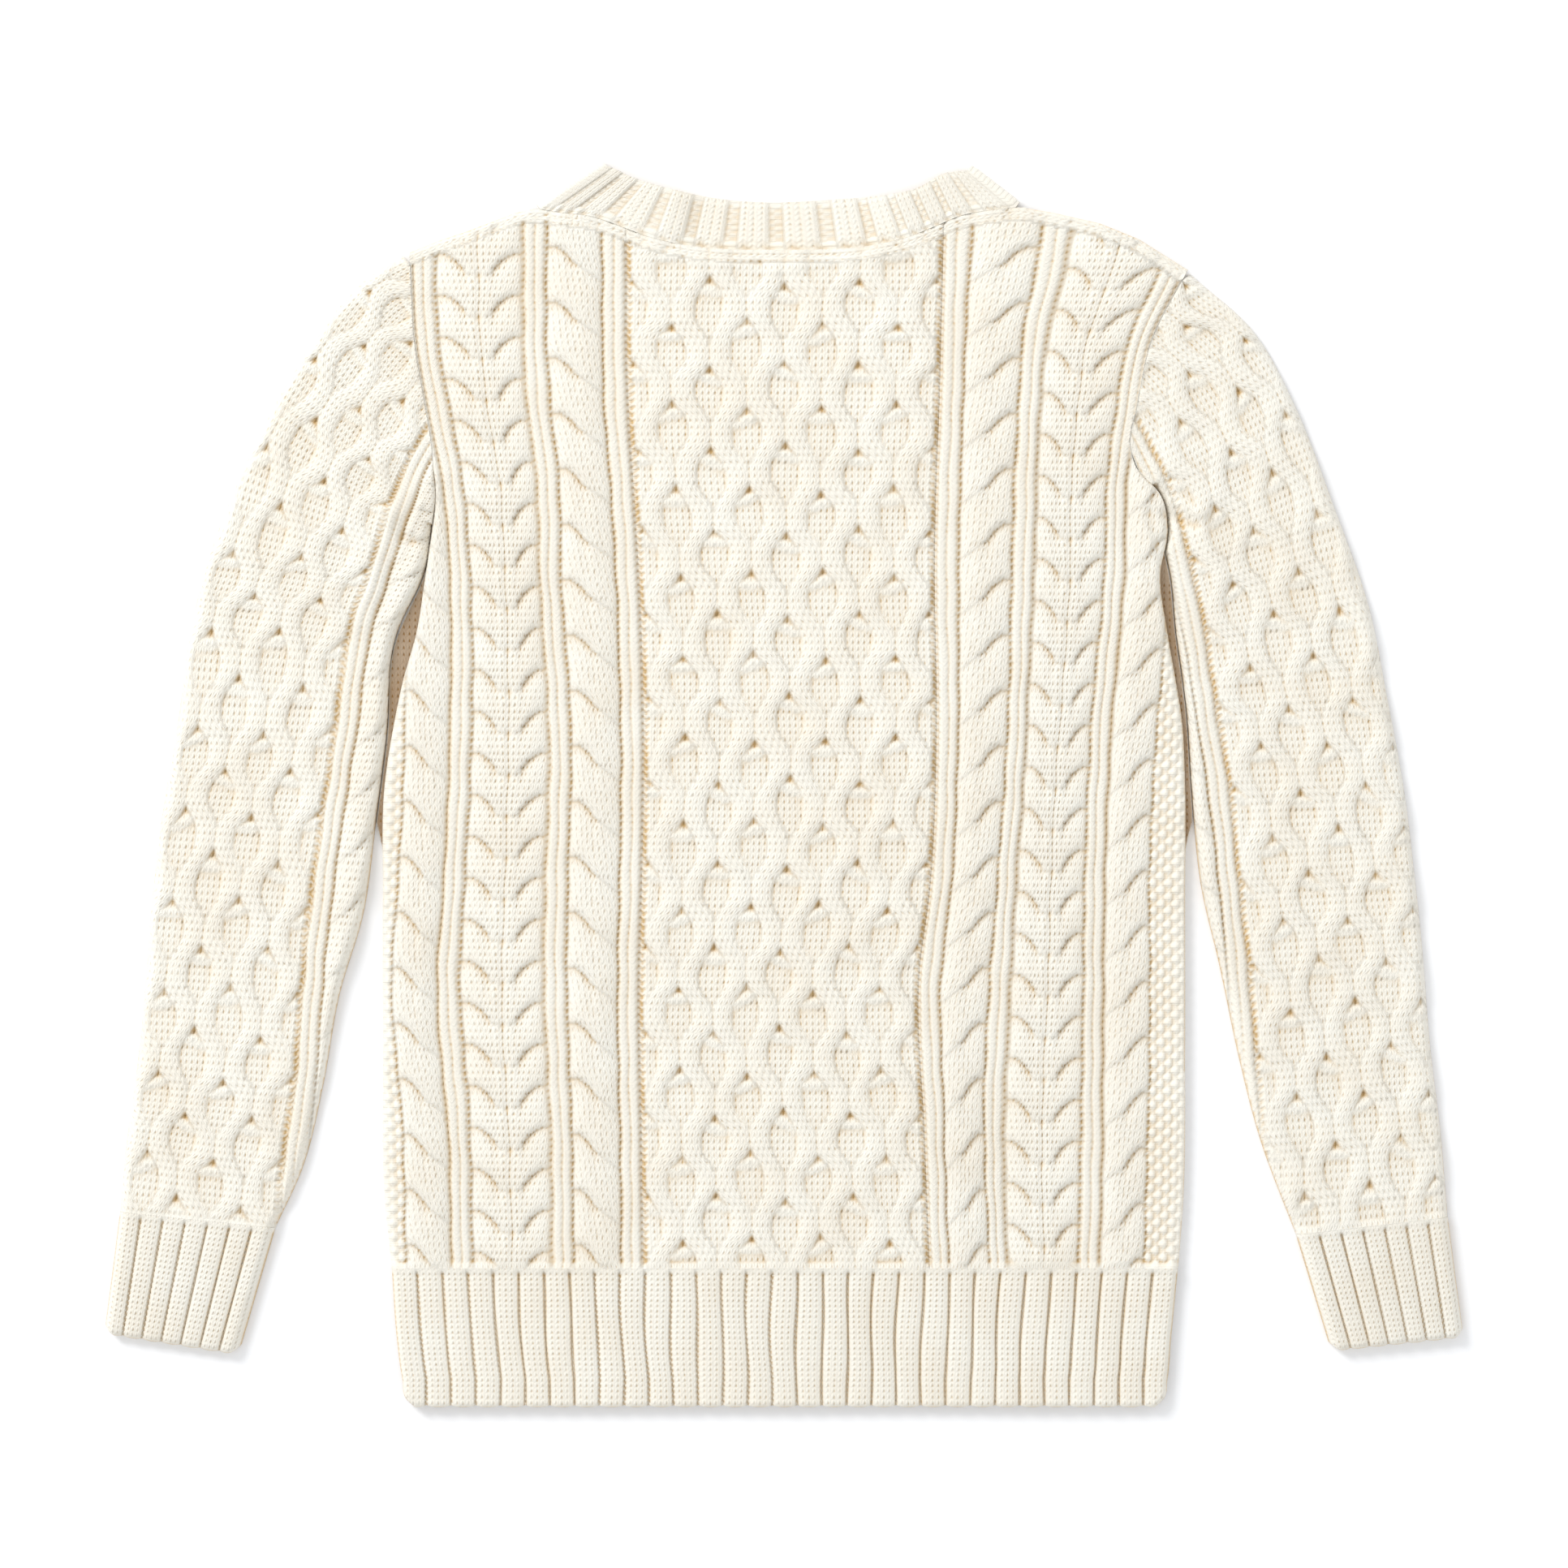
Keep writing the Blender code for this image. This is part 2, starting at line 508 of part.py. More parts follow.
def build_sleeve(name, rows, side):
    """Sleeve as a flattened tube: plain below, cables raised above, with a slot between its layers."""
    frame = sleeve_frame(rows)
    low, high = rows[-1][0], rows[0][0]
    row_rim = RIM_WIDTH / ROW
    courses = [low + SEAM_GAP / ROW, low + row_rim]
    inner = np.arange(SLEEVE_FIRST_ROW, SLEEVE_LAST_ROW, SHEET_STEP)
    courses += [c for c in inner if low + PAST_RIM * row_rim < c < high - PAST_RIM * row_rim]
    courses += [high - row_rim, high]
    wales = [None] + list(np.arange(SLEEVE_FIRST_COLUMN, SLEEVE_LAST_COLUMN + 1, HONEYCOMB_COLUMN))
    wales += [SLEEVE_RIB_AT + offset for offset in SLEEVE_RIB_COLUMNS]
    wales += [SLEEVE_ROPE_AT + offset for offset in ROPE1_COLUMNS] + [None]
    chains = []
    for index, wale in enumerate(wales):
        chain = []
        for course in courses:
            outer, across, first, last = sleeve_section(frame, course, side)
            inset = min(RIM_WIDTH / SLEEVE_WALE, (last - first) * NARROWEST)
            held = first if index == 0 else last
            if wale is not None:
                held = min(max(wale, first + inset), last - inset)
            point = outer + across * (held - first) * SLEEVE_WALE
            away = min((held - first) * SLEEVE_WALE, (last - held) * SLEEVE_WALE,
                       (course - courses[0]) * ROW, (high - course) * ROW)
            full = GROUND + sleeve_relief(held, course) + fold_height(point.x, point.y)
            chain.append((course, (point.x, point.y, INSIDE + rim(away, full))))
        chains.append(chain)
    if side > 0:
        chains.reverse()
    piece = add_piece(name, relief_sheet(chains, 0.0), cream)
    edge = LOWER_WALL
    fold_side, seam_side = [], []
    for course in np.linspace(low - SLOT_PAST, high - SLOT_SHORT, SLOT_STATIONS):
        outer, across, first, last = sleeve_section(frame, max(course, low), side)
        down = Vector((0, (course - low) * ROW if course < low else 0))
        width = (last - first) * SLEEVE_WALE
        reach = width + edge if course > UNDERARM_COURSE else width - edge
        fold_side.append(outer + across * edge + down)
        seam_side.append(outer + across * max(reach, edge + 1) + down)
    cut_slot(piece, [tuple(p) for p in fold_side + seam_side[::-1]])
    return piece


def build_cuff(name, rows):
    """Ribbed cuff as a flattened tube, continuing its sleeve."""
    (_, top_ox, top_oy, top_ix, top_iy), (_, end_ox, end_oy, end_ix, end_iy) = rows
    top_outer, top_inner = Vector((top_ox, top_oy)), Vector((top_ix, top_iy))
    end_outer, end_inner = Vector((end_ox, end_oy)), Vector((end_ix, end_iy))
    length = (end_outer - top_outer).length
    shares = [SEAM_GAP / length, RIM_WIDTH / length, 1 - RIM_WIDTH / length, 1.0]
    chains = []
    for across, raised in rib_profile(CUFF_RIBS):
        chain = []
        for share in shares:
            outer = top_outer.lerp(end_outer, share)
            inner = top_inner.lerp(end_inner, share)
            point = outer.lerp(inner, across)
            width = (inner - outer).length
            away = min(across * width, (1 - across) * width, (share - shares[0]) * length, (1 - share) * length)
            full = WELT_GROUND + WELT_RELIEF * raised
            chain.append((share, (point.x, point.y, INSIDE + rim(away, full))))
        chains.append(chain)
    piece = add_piece(name, relief_sheet(chains, 0.0), cream)
    corners = []
    for share in CUFF_SLOT:
        outer = top_outer.lerp(end_outer, share)
        inner = top_inner.lerp(end_inner, share)
        along = (inner - outer).normalized()
        corners.append((tuple(outer + along * LOWER_WALL), tuple(inner - along * LOWER_WALL)))
    cut_slot(piece, [corners[0][0], corners[0][1], corners[1][1], corners[1][0]])
    return piece


def neck_station(rows, position):
    """Seam point and edge point of the neckband at a position along its sections, 0 to 1."""
    keyed = [(index, *row) for index, row in enumerate(rows)]
    fields = ("index", *NECKBAND_FIELDS)
    at = [curve(keyed, fields, "index", name)(position * (len(rows) - 1)) for name in NECKBAND_FIELDS]
    return Vector(at[:2]), Vector(at[2:])


def neck_section(seam, edge, turn, outward, wall, raised):
    """Ring of points of one section. turn is 0 where the outside faces up and 180 where it faces down."""
    away = Vector((outward.x, outward.y, 0)) * math.sin(turn) + Vector((0, 0, 1)) * math.cos(turn)
    settle = step(abs(seam.x), NECK_DROP_TO, NECK_DROP_FROM) if math.cos(turn) > 0.99 else 1.0
    level = (LOWER_WALL + SEAM_GAP / 2 + SEAM_GAP / 2 * math.cos(turn)) * settle
    ring = []
    for share, thickness in NECK_RING:
        point = seam.lerp(edge, share)
        depth = wall * thickness - (NECK_RELIEF * (1 - raised) if thickness == 1 else 0)
        ring.append(Vector((point.x, point.y, level)) + away * depth)
    return ring


def build_neckband():
    """Ribbed band as a flattened ring: back half above, front half below, folded at two ears."""
    rings = []
    places = [((rib + share) / NECK_RIBS, raised) for rib in range(NECK_RIBS) for share, raised in NECK_PROFILE]
    for position, raised in places + [(1.0, 0)]:
        seam, edge = neck_station(NECK_BACK, position)
        rings.append(neck_section(seam, edge, 0.0, Vector((0, 0)), NECK_WALL, raised))
    seam, edge = neck_station(NECK_FRONT, 0.0)
    for degrees in EAR_DEGREES:
        wall = NECK_WALL + (LOWER_WALL - NECK_WALL) * degrees / 180
        rings.append(neck_section(seam, edge, math.radians(degrees), Vector(EAR_RIGHT), wall, 1))
    for index in range(FRONT_STATIONS + 1):
        seam, edge = neck_station(NECK_FRONT, index / FRONT_STATIONS)
        rings.append(neck_section(seam, edge, math.pi, Vector((0, 0)), LOWER_WALL, 1))
    for degrees in reversed(EAR_DEGREES):
        wall = NECK_WALL + (LOWER_WALL - NECK_WALL) * degrees / 180
        rings.append(neck_section(seam, edge, math.radians(degrees), Vector(EAR_LEFT), wall, 1))
    bm = bmesh.new()
    loops = [[bm.verts.new(point) for point in ring] for ring in rings]
    for ring, following in zip(loops, loops[1:] + loops[:1]):
        for k in range(len(ring)):
            n = (k + 1) % len(ring)
            bm.faces.new((ring[k], following[k], following[n], ring[n]))
    return add_piece("neckband", bm, cream)


for leftover in list(bpy.data.objects):
    bpy.data.objects.remove(leftover)
garment = bpy.data.collections.new("fisherman_sweater")
cutters = bpy.data.collections.new("cutters")
bpy.context.scene.collection.children.link(garment)
bpy.context.scene.collection.children.link(cutters)
cream = knit_material("cream_cotton_knit", (0.86, 0.80, 0.68), 0.9)

build_back_panel()
build_front_panel()
build_welts()
build_sleeve("left_sleeve", LEFT_SLEEVE, -1)
build_sleeve("right_sleeve", RIGHT_SLEEVE, 1)
build_cuff("left_cuff_rib", LEFT_CUFF)
build_cuff("right_cuff_rib", RIGHT_CUFF)
build_neckband()
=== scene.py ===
"""Fisherman sweater in cream cotton cable knit, laid flat face down on a pale floor.

Tables are in millimetres and stitches: a wale is one stitch wide and a row one stitch high.
"""
import math

import bmesh
import bpy
import numpy as np
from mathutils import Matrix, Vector


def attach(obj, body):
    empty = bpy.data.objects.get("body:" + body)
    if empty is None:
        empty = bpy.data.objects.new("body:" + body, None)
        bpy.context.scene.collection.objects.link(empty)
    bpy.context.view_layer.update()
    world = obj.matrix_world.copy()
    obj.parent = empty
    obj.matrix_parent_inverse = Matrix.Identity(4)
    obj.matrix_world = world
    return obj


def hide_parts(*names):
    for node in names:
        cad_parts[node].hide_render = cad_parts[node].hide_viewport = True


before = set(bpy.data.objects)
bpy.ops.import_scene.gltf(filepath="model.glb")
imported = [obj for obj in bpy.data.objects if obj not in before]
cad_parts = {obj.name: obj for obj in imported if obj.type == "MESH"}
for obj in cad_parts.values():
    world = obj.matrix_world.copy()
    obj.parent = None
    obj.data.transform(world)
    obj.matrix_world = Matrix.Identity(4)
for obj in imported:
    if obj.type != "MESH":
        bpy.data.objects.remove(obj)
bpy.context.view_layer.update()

bl_info = {
    "name": "Fisherman Sweater",
    "version": (1, 0, 0),
    "blender": (4, 5, 0),
    "location": "View3D > Sidebar > Sweater",
    "description": "Knits a cable-knit sweater laid flat, stitch by stitch",
    "category": "Add Mesh",
}

MM = 0.001
ROW, WALE = 3.92, 3.26  # height of a knitted row, width of a stitch on the body
SLEEVE_WALE = 3.1
LOWER_WALL = 3.6  # the front, and each tube's under layer
INSIDE = 3.9  # height of the upper layer's plain inside
GROUND = 2.4  # wall at a purl gutter
EDGE_WALL = 0.5  # wall that is left at an edge that rolls over
EDGE_ROLL = 4.0  # how far in from an edge the knit rolls over
FOLD_FOOT = 0.4  # height at which a flattened tube's upper half folds under
HEM_TOP, HEM_FOOT = -274.0, -352.5
APPROACHES, HALVINGS = 40, 24  # steps in which a column's top and a sleeve's sewn edge are found
EYE_LINE = 245.9  # height on the back of one course of honeycomb eyes
ROWS_ABOVE = 24  # rows that are modelled above that course
SLANT = 1.5  # rows by which a stitch's arm climbs for each stitch of width
ALONG = 3  # modelled points along one row
ACROSS = 0.25  # stitches between two modelled columns
SEAM_GAP = 0.3  # between the front and its welt
ARMHOLE_GAP = 0.08  # between back and sleeve
JOIN_GAP = 0.006  # on each side of a line where two pieces are knitted in one
JOIN_LEVEL = 5.7  # wall where a panel runs on into its ribbed end
JOIN_BLEND = 4.0  # how far from a join the pattern reaches its own wall
FIRST_ROW = 0.3  # the first points beside a join, so both sides meet level
SEWN_LEVEL = 5.2  # wall at the sewn edge between back and sleeve
SEWN_FROM, SEWN_TO = 140.0, 165.0  # heights over which the back's sides become sewn
BAND_STITCH, BAND_WIDTH, BAND_PITCH = 3.6, 7.2, 4.3  # sewn band of sideways stitches
NECK_MIDDLE, NECK_REACH, SHOULDER_REACH = -4, 136.0, 144.0  # where neck and shoulders meet
SHOULDER_WALL = 3.2
CALM = 8.0  # how far from a join the stitch columns run straight
CALM_SIDE = 12.0  # and how far from a side

SIDES_FIELDS = ("y", "left", "right")
BODY_SIDES = [
    (-275, -222, 223), (-235, -226, 226), (-150, -227, 227), (-61, -227, 227), (0, -226, 227),
    (38, -220, 225), (57, -216, 222), (86, -208, 217), (118, -203, 213), (146, -199, 217),
    (166, -197, 211), (176, -198, 201), (190, -199, 196), (215, -203, 200), (251, -209, 208),
    (288, -211, 227), (304, -212, 236),
]

RIB_LINES_FIELDS = ("y", "rib1_left", "rib2_left", "rib3_left", "rib3_right", "rib2_right", "rib1_right")
RIB_LINES = [
    (-275, -182, -125, -86, 89, 121, 172), (-199, -184, -126, -87, 86, 118, 174),
    (-107, -190, -129, -88, 83, 123, 175), (-61, -187, -129, -87, 89, 126, 175),
    (31, -183, -127, -86, 93, 132, 179), (123, -183, -133, -89, 92, 136, 187),
    (169, -187, -134, -92, 93, 137, 188), (215, -196, -139, -95, 95, 139, 194),
    (251, -202, -141, -96, 96, 142, 201), (288, -204, -141, -96, 97, 150, 219),
    (332, -205, -141, -97, 98, 158, 236),
]
RIB_WALES = (-58, -39.5, -27, 27, 39.5, 58)

SHOULDER_LEFT = [(-213, 300), (-196, 307), (-178, 313), (-152, 323), (-142, 325)]
SHOULDER_RIGHT = [(136, 326), (153, 323), (179, 317), (201, 308), (228, 291), (240, 284)]

NECKBAND_FIELDS = ("index", "seam_x", "seam_y", "edge_x", "edge_y")
NECK_BACK = [
    (0, -138, 325, -101, 350), (1, -127, 323, -94, 347), (2, -106, 320, -83, 342), (3, -72, 308, -62, 336),
    (4, -41, 303, -36, 331), (5, -4, 302, -5, 329), (6, 37, 303, 32, 331), (7, 66, 308, 57, 333),
    (8, 85, 315, 75, 337), (9, 103, 322, 90, 345), (10, 131, 326, 104, 347),
]
NECK_FRONT = [
    (0, 131, 326, 104, 347), (1, 126, 309, 101, 333), (2, 112, 290, 89, 313), (3, 85, 277, 66, 302),
    (4, 43, 268, 34, 294), (5, -4, 266, -4, 291), (6, -49, 268, -39, 293), (7, -90, 278, -70, 298),
    (8, -120, 293, -90, 311), (9, -132, 309, -100, 334), (10, -138, 325, -101, 350),
]
NECK_RIBS = 14
NECK_WALL = 5.2
NECK_STEPS, NECK_ROW = 16, 3.1  # modelled sections on each rib, height of a row
NECK_DROP_FROM, NECK_DROP_TO = 72.0, 45.0  # x at which the band starts to sink and lies on the floor
EAR_LEFT, EAR_RIGHT = (-0.56, 0.83), (0.62, 0.78)  # which way each fold of the ring points
EAR_STEP = 15  # degrees between two sections round a fold

SLEEVE_FIELDS = ("course", "outer_x", "outer_y", "inner_x", "inner_y", "wale")
LEFT_SLEEVE = [
    (132, -216, 299, -207, 289, -2.5), (124.5, -236, 287, -204, 242, -2.5),
    (111.5, -270, 246, -192, 164, -2.5), (99.5, -300, 192, -196, 144, -2.4),
    (87.5, -324, 134, -205, 116, -4.4), (75.5, -336, 88, -221, 79, -4.0),
    (63.5, -344, 31, -225, 28, -4.2), (51.5, -352, -15, -231, -20, -4.4),
    (39.5, -358, -65, -238, -72, -4.1), (27.5, -362, -115, -252, -120, -3.9),
    (15.5, -367, -164, -261, -170, -4.2), (3.5, -373, -207, -273, -218, -4.2),
    (-5, -376, -242, -288, -251, -4.2),
]
RIGHT_SLEEVE = [
    (124.4, 230, 289, 217, 277, -2.4), (111.5, 267, 255, 192, 213, -2.4),
    (99.5, 291, 211, 205, 164, -2.4), (87.5, 311, 159, 218, 122, -3.5),
    (75.5, 331, 102, 222, 86, -5.6), (63.5, 342, 48, 228, 41, -6.5),
    (51.5, 351, -1, 231, -5, -7.1), (39.5, 357, -49, 236, -56, -7.3),
    (27.5, 362, -97, 247, -104, -7.2), (15.5, 366, -147, 258, -156, -7.3),
    (3.5, 372, -198, 271, -205, -7.7), (-7.6, 376, -245, 290, -255, -8.0),
]
LEFT_CUFF = [(-376, -242, -288, -251), (-385, -311, -309, -323)]
RIGHT_CUFF = [(376, -245, 290, -255), (385, -313, 310, -321)]

WELT_SIDES = [(-352.5, -209, 210), (-349, -213, 214), (-337, -216, 217), (-315, -219, 219), (-274, -222, 223)]
WELT_RIBS, CUFF_RIBS = 31, 7
RIB_ROW = 3.05  # height of a row in the ribbed ends
RIB_EDGE = 0.033  # share of a rib on each side of its crest that is gutter
WELT_GROUND, WELT_RELIEF = 2.4, 2.5
WELT_CORNER = -336.0  # the welt's lower corners are rounded off below this height
CUFF_CORNER = 4.5
WELT_SCALLOP, CUFF_SCALLOP = 1.3, 0.9  # how far the cast-on edge bows out at each rib
UNDERARM_COURSE = 108.0  # the sleeve is open to the body above this course
SEWN_COURSE = 100  # and sewn to it above this one
SLEEVE_FOLD, CUFF_FOLD = 7.0, 6.0  # how far in from its folds a tube reaches its full height
FRONT_INSET = 1.6  # how far inside the back's edge the front's edge lies
NECKLINE_INSET = 1.2

# Soft folds: from x0, y0 to x1, y1, width, height
FOLDS = [
    (-201, 172, -224, 152, 7, 2.0), (-224, 152, -240, 92, 7, 1.6), (-212, 140, -226, 100, 6, -1.2),
    (-214, 186, -250, 178, 9, 1.2), (214, 178, 240, 160, 8, 1.8), (232, 150, 246, 118, 7, 1.6),
    (204, 160, 210, 132, 5, 1.5), (226, 190, 262, 186, 9, 1.0),
    (-70, 298, -4, 290, 2.6, 0.8), (-4, 290, 64, 301, 2.6, 0.8),
    (-214, 139, -202, 134, 3.5, -2.6), (-206, 158, -218, 128, 3.0, 1.6),
    (216, 152, 232, 146, 3.5, -2.6), (207, 152, 213, 126, 3.0, -2.0), (219, 160, 236, 153, 3.0, 1.6),
]

HONEYCOMB_HALF = 24.0
ROPE2_AT, ROPE2_HALF = 33.2, 4.1
HORSESHOE_AT, HORSESHOE_HALF = 48.8, 6.8
ROPE1_AT, ROPE1_HALF = 63.8, 3.7
SLEEVE_RIB_AT, SLEEVE_ROPE_AT = 26.9, 32.6
RIBS = (27, 39.5, 58)  # stitch columns of the 2-wale ribs
RIB_HALF = 1.6
MOSS_FROM, MOSS_TO = 67.8, 76.0
SLEEVE_FROM, SLEEVE_TO = -8.5, 44.0  # stitch columns that a sleeve can reach
SLEEVE_MOSS_FROM = 4.4  # stitches from the middle of the sleeve's rope
BEAD = 1.3  # width of a moss bead, in stitches
EYE_REPEAT, ROPE_REPEAT, HORSESHOE_REPEAT = 12.0, 8.0, 6.0  # rows of one repeat, for eyes stitches too
ROPE_ROW, HORSESHOE_ROW = 4.35, 4.9  # row at which one crossing starts
ROPE_RISE, HORSESHOE_RISE = 2.6, 3.0  # rows by which a crossing climbs outward
RIGHT_LATE = 2.0  # rows by which the right side's outer crossings lie lower than the left's
SPLIT = 25.0  # the back's stitch column where its middle and its sides are parted


def smooth(table, fields, key, column):
    """Smooth function through one column of a table, for arrays of positions."""
    data = np.array(sorted((row[fields.index(key)], row[fields.index(column)]) for row in table), dtype=float)
    knots, values = data[:, 0], data[:, 1]
    slopes = np.gradient(values, knots)

    def at(position):
        p = np.clip(np.asarray(position, dtype=float), knots[0], knots[-1])
        i = np.clip(np.searchsorted(knots, p, side="right") - 1, 0, len(knots) - 2)
        span = knots[i + 1] - knots[i]
        t = (p - knots[i]) / span
        return ((2 * t**3 - 3 * t**2 + 1) * values[i] + (t**3 - 2 * t**2 + t) * span * slopes[i]
                + (3 * t**2 - 2 * t**3) * values[i + 1] + (t**3 - t**2) * span * slopes[i + 1])
    return at


def lines_of(table, fields):
    """Smooth functions of a table's first column, one for each of its other columns."""
    return [smooth(table, fields, fields[0], field) for field in fields[1:]]


def dome(distance, half_width):
    """Round section of a strand: 1 on its centre line, 0 at its half width."""
    return np.sqrt(np.clip(1.0 - (distance / half_width) ** 2, 0.0, 1.0))


def ease(value, start, end):
    """Smooth step from 0 at start to 1 at end."""
    t = np.clip((value - start) / (end - start), 0.0, 1.0)
    return t * t * (3 - 2 * t)


def scatter(i, j):
    """Fixed irregular number from 0 to 1 for one stitch."""
    return np.mod(np.sin(np.floor(i) * 12.9898 + np.floor(j) * 78.233) * 43758.5453, 1.0)


def knit(u, v):
    """Knit stitches: two slanting arms each, with a small hole between neighbours. Edges at whole u."""
    leg = np.abs(np.mod(u, 1.0) - 0.5)
    p = np.mod(v - SLANT * leg, 1.0)
    arm = dome(leg - 0.25, 0.27) * (0.55 + 0.45 * np.sin(np.pi * p) ** 0.8)
    away = np.minimum(p, 1 - p)
    pinhole = np.exp(-((0.5 - leg) / 0.13) ** 2 - (away / 0.2) ** 2)
    loose = 0.35 * (scatter(u, v - SLANT * leg) - 0.5)
    return 0.95 * arm - 1.1 * pinhole + loose


def purl_rungs(w, v):
    """Rungs of the purl stitches in a gutter, staggered from column to column."""
    shift = 0.5 * np.mod(np.floor(w * 1.4), 2)
    rung = 1.5 * (0.5 + 0.5 * np.cos(2 * np.pi * (v + shift))) ** 2
    return rung, np.full_like(rung, 0.25)


def moss(u, v):
    """Moss stitch: beads staggered from column to column."""
    column = np.floor(u / BEAD)
    across = u / BEAD - column - 0.5
    along = np.mod(v / 2 + 0.5 * np.mod(column, 2), 1.0) - 0.5
    bead = 0.6 + 1.7 * np.sqrt(np.clip(1 - (across / 0.58) ** 2 - (along / 0.36) ** 2, 0, 1))
    return bead, np.full_like(bead, 0.25)


def honeycomb(w, v):
    """Honeycomb on 12 stitches and 12 rows: strands of 3 stitches wave round sunken eyes."""
    half = EYE_REPEAT / 2
    a = np.mod(w, EYE_REPEAT) - half
    drift = v + 0.55 * np.sin(w / 2.9 + 2 * np.sin(v / 7.3))
    swing = np.cos(2 * np.pi * drift / EYE_REPEAT)
    centre = 3 + 1.5 * (1.2 * swing - 0.2 * swing**3)
    d = np.abs(a) - centre
    strand = 3.4 * dome(d, 2.25) ** 0.8 + 0.5 * knit(d + 0.5, v)
    within = d < 0
    x = np.where(within, a, a - half * np.sign(a))
    r = np.where(within, np.mod(drift + half, EYE_REPEAT) - half, np.mod(drift, EYE_REPEAT) - half)
    floor = np.clip(1.2 - 0.3 * r, 0.85, 2.3) + 0.7 * knit(x, v)
    tilt = np.where(within, 0.22, -0.22)
    crossing = r - 2.1 - tilt * x
    ledge = (2.3 * dome(crossing, 1.0) + 0.2 * np.cos(8 * crossing)) * (np.abs(x) < 3)
    cell, above = w / EYE_REPEAT, (drift + half) / EYE_REPEAT
    drawn = np.where(within, scatter(cell, above), scatter(cell + 40.5, drift / EYE_REPEAT))
    hole = (0.2 + 1.5 * drawn) * np.exp(-(x / 0.55) ** 2 - ((r - 3.45) / 0.5) ** 2)
    height = np.maximum(np.maximum(strand, floor), ledge) - hole
    return height, np.where(strand > floor, d + 0.5, x)


def lobes(p, period, depth):
    """Share of a cable's height: crisp above each crossing, tucked under below it."""
    tuck = np.exp(-((period - p) / (0.3 * period)) ** 1.3)
    crisp = np.exp(-(p / 0.6) ** 2)
    return 1 - depth * np.clip(0.95 * tuck + 0.55 * crisp, 0, 1)


def hook(t, rise):
    """Line of a crossing, in rows: steep where it starts, level at the cable's outer edge."""
    return rise * np.where(t > 0, 2 * t - t * t, t)


def rope(m, v, half):
    """Rope cable: lobes 8 rows long that cross over, rising outward."""
    p = np.mod(v - hook(m / half, ROPE_RISE), ROPE_REPEAT)
    depth = 0.2 + 0.55 * ease(m, -0.35 * half, 0.25 * half)
    lean = 1.1 * np.exp(-p / 1.8) - 0.9 * np.exp(-(ROPE_REPEAT - p) / 2.0)
    shape = 4.3 * dome(m, half + 0.15) ** 0.8 * lobes(p, ROPE_REPEAT, depth)
    return shape + 0.8 * knit(m + lean, v) * dome(m, half), m + lean


def horseshoe(m, v):
    """Horseshoe cable: chevrons every 6 rows, whose arms rise outward from the centre."""
    s = np.abs(m)
    groove = hook((s - 2.0) / (HORSESHOE_HALF - 2.0), HORSESHOE_RISE)
    p = np.mod(v - HORSESHOE_ROW - groove, HORSESHOE_REPEAT)
    depth = 0.1 + 0.65 * ease(s, 1.2, 3.2)
    lean = (np.exp(-p / 1.5) - 0.8 * np.exp(-(HORSESHOE_REPEAT - p) / 1.6)) * ease(s, 0.6, 2.2)
    tip = 1.3 * np.exp(-(m / 0.6) ** 2 - ((p - 0.7) / 0.6) ** 2) + 0.15 * np.exp(-(m / 0.35) ** 2)
    arm = dome(np.abs(s - 3.4), 3.55) ** 0.5
    shape = (3.2 + arm) * dome(m, HORSESHOE_HALF + 0.15) ** 0.6 * lobes(p, HORSESHOE_REPEAT, depth)
    return shape - tip + 0.8 * knit(s + lean, v) * dome(m, HORSESHOE_HALF), s + lean


def two_wale_rib(o, v):
    """Rib of two smooth wales with a fine line between them."""
    side = np.abs(o) - 0.79
    height = 2.5 * dome(side, 0.86) ** 0.7 + 0.45 * np.cos(2 * np.pi * (v - 1.2 * side)) * dome(side, 0.8)
    return height, o / 1.58


def overlay(ground, inside, part):
    """Heights and stitch places of the ground, with one part of the pattern laid in."""
    return tuple(np.where(inside, new, old) for new, old in zip(part, ground))


def body_relief(w, v):
    """Height of the back's stitch pattern over its wall, and the place across each stitch."""
    out = np.abs(w)
    knitting = overlay(purl_rungs(out, v), out <= HONEYCOMB_HALF, honeycomb(w, v))
    for at in RIBS:
        knitting = overlay(knitting, np.abs(out - at) < RIB_HALF, two_wale_rib(out - at, v))
    late = v + RIGHT_LATE * (w > 0)
    for at, half, rows in ((ROPE2_AT, ROPE2_HALF, v), (ROPE1_AT, ROPE1_HALF, late)):
        knitting = overlay(knitting, np.abs(out - at) < half, rope(out - at, rows - ROPE_ROW, half))
    chevron = out - HORSESHOE_AT
    knitting = overlay(knitting, np.abs(chevron) < HORSESHOE_HALF, horseshoe(chevron, late))
    return overlay(knitting, out > MOSS_FROM, moss(out - MOSS_FROM, v))


def sleeve_relief(w, v):
    """The same for a sleeve: honeycomb, then a rib and a rope at its inner side."""
    knitting = overlay(purl_rungs(w, v), w <= HONEYCOMB_HALF, honeycomb(w + EYE_REPEAT / 2, v))
    rib, cable = w - SLEEVE_RIB_AT, w - SLEEVE_ROPE_AT
    knitting = overlay(knitting, np.abs(rib) < RIB_HALF, two_wale_rib(rib, v))
    knitting = overlay(knitting, np.abs(cable) < ROPE1_HALF, rope(cable, v, ROPE1_HALF))
    return overlay(knitting, cable > SLEEVE_MOSS_FROM, moss(cable - SLEEVE_MOSS_FROM, v))


def seam_band(depth, along):
    """Band of sideways stitches along a sewn edge, by distance in from it and place along it."""
    u = depth / BAND_STITCH + 0.25
    ridge = dome(depth - BAND_WIDTH / 2, BAND_WIDTH / 2 + 0.6) ** 0.5
    return 1.3 * ridge + 1.3 * knit(u, along / BAND_PITCH), u


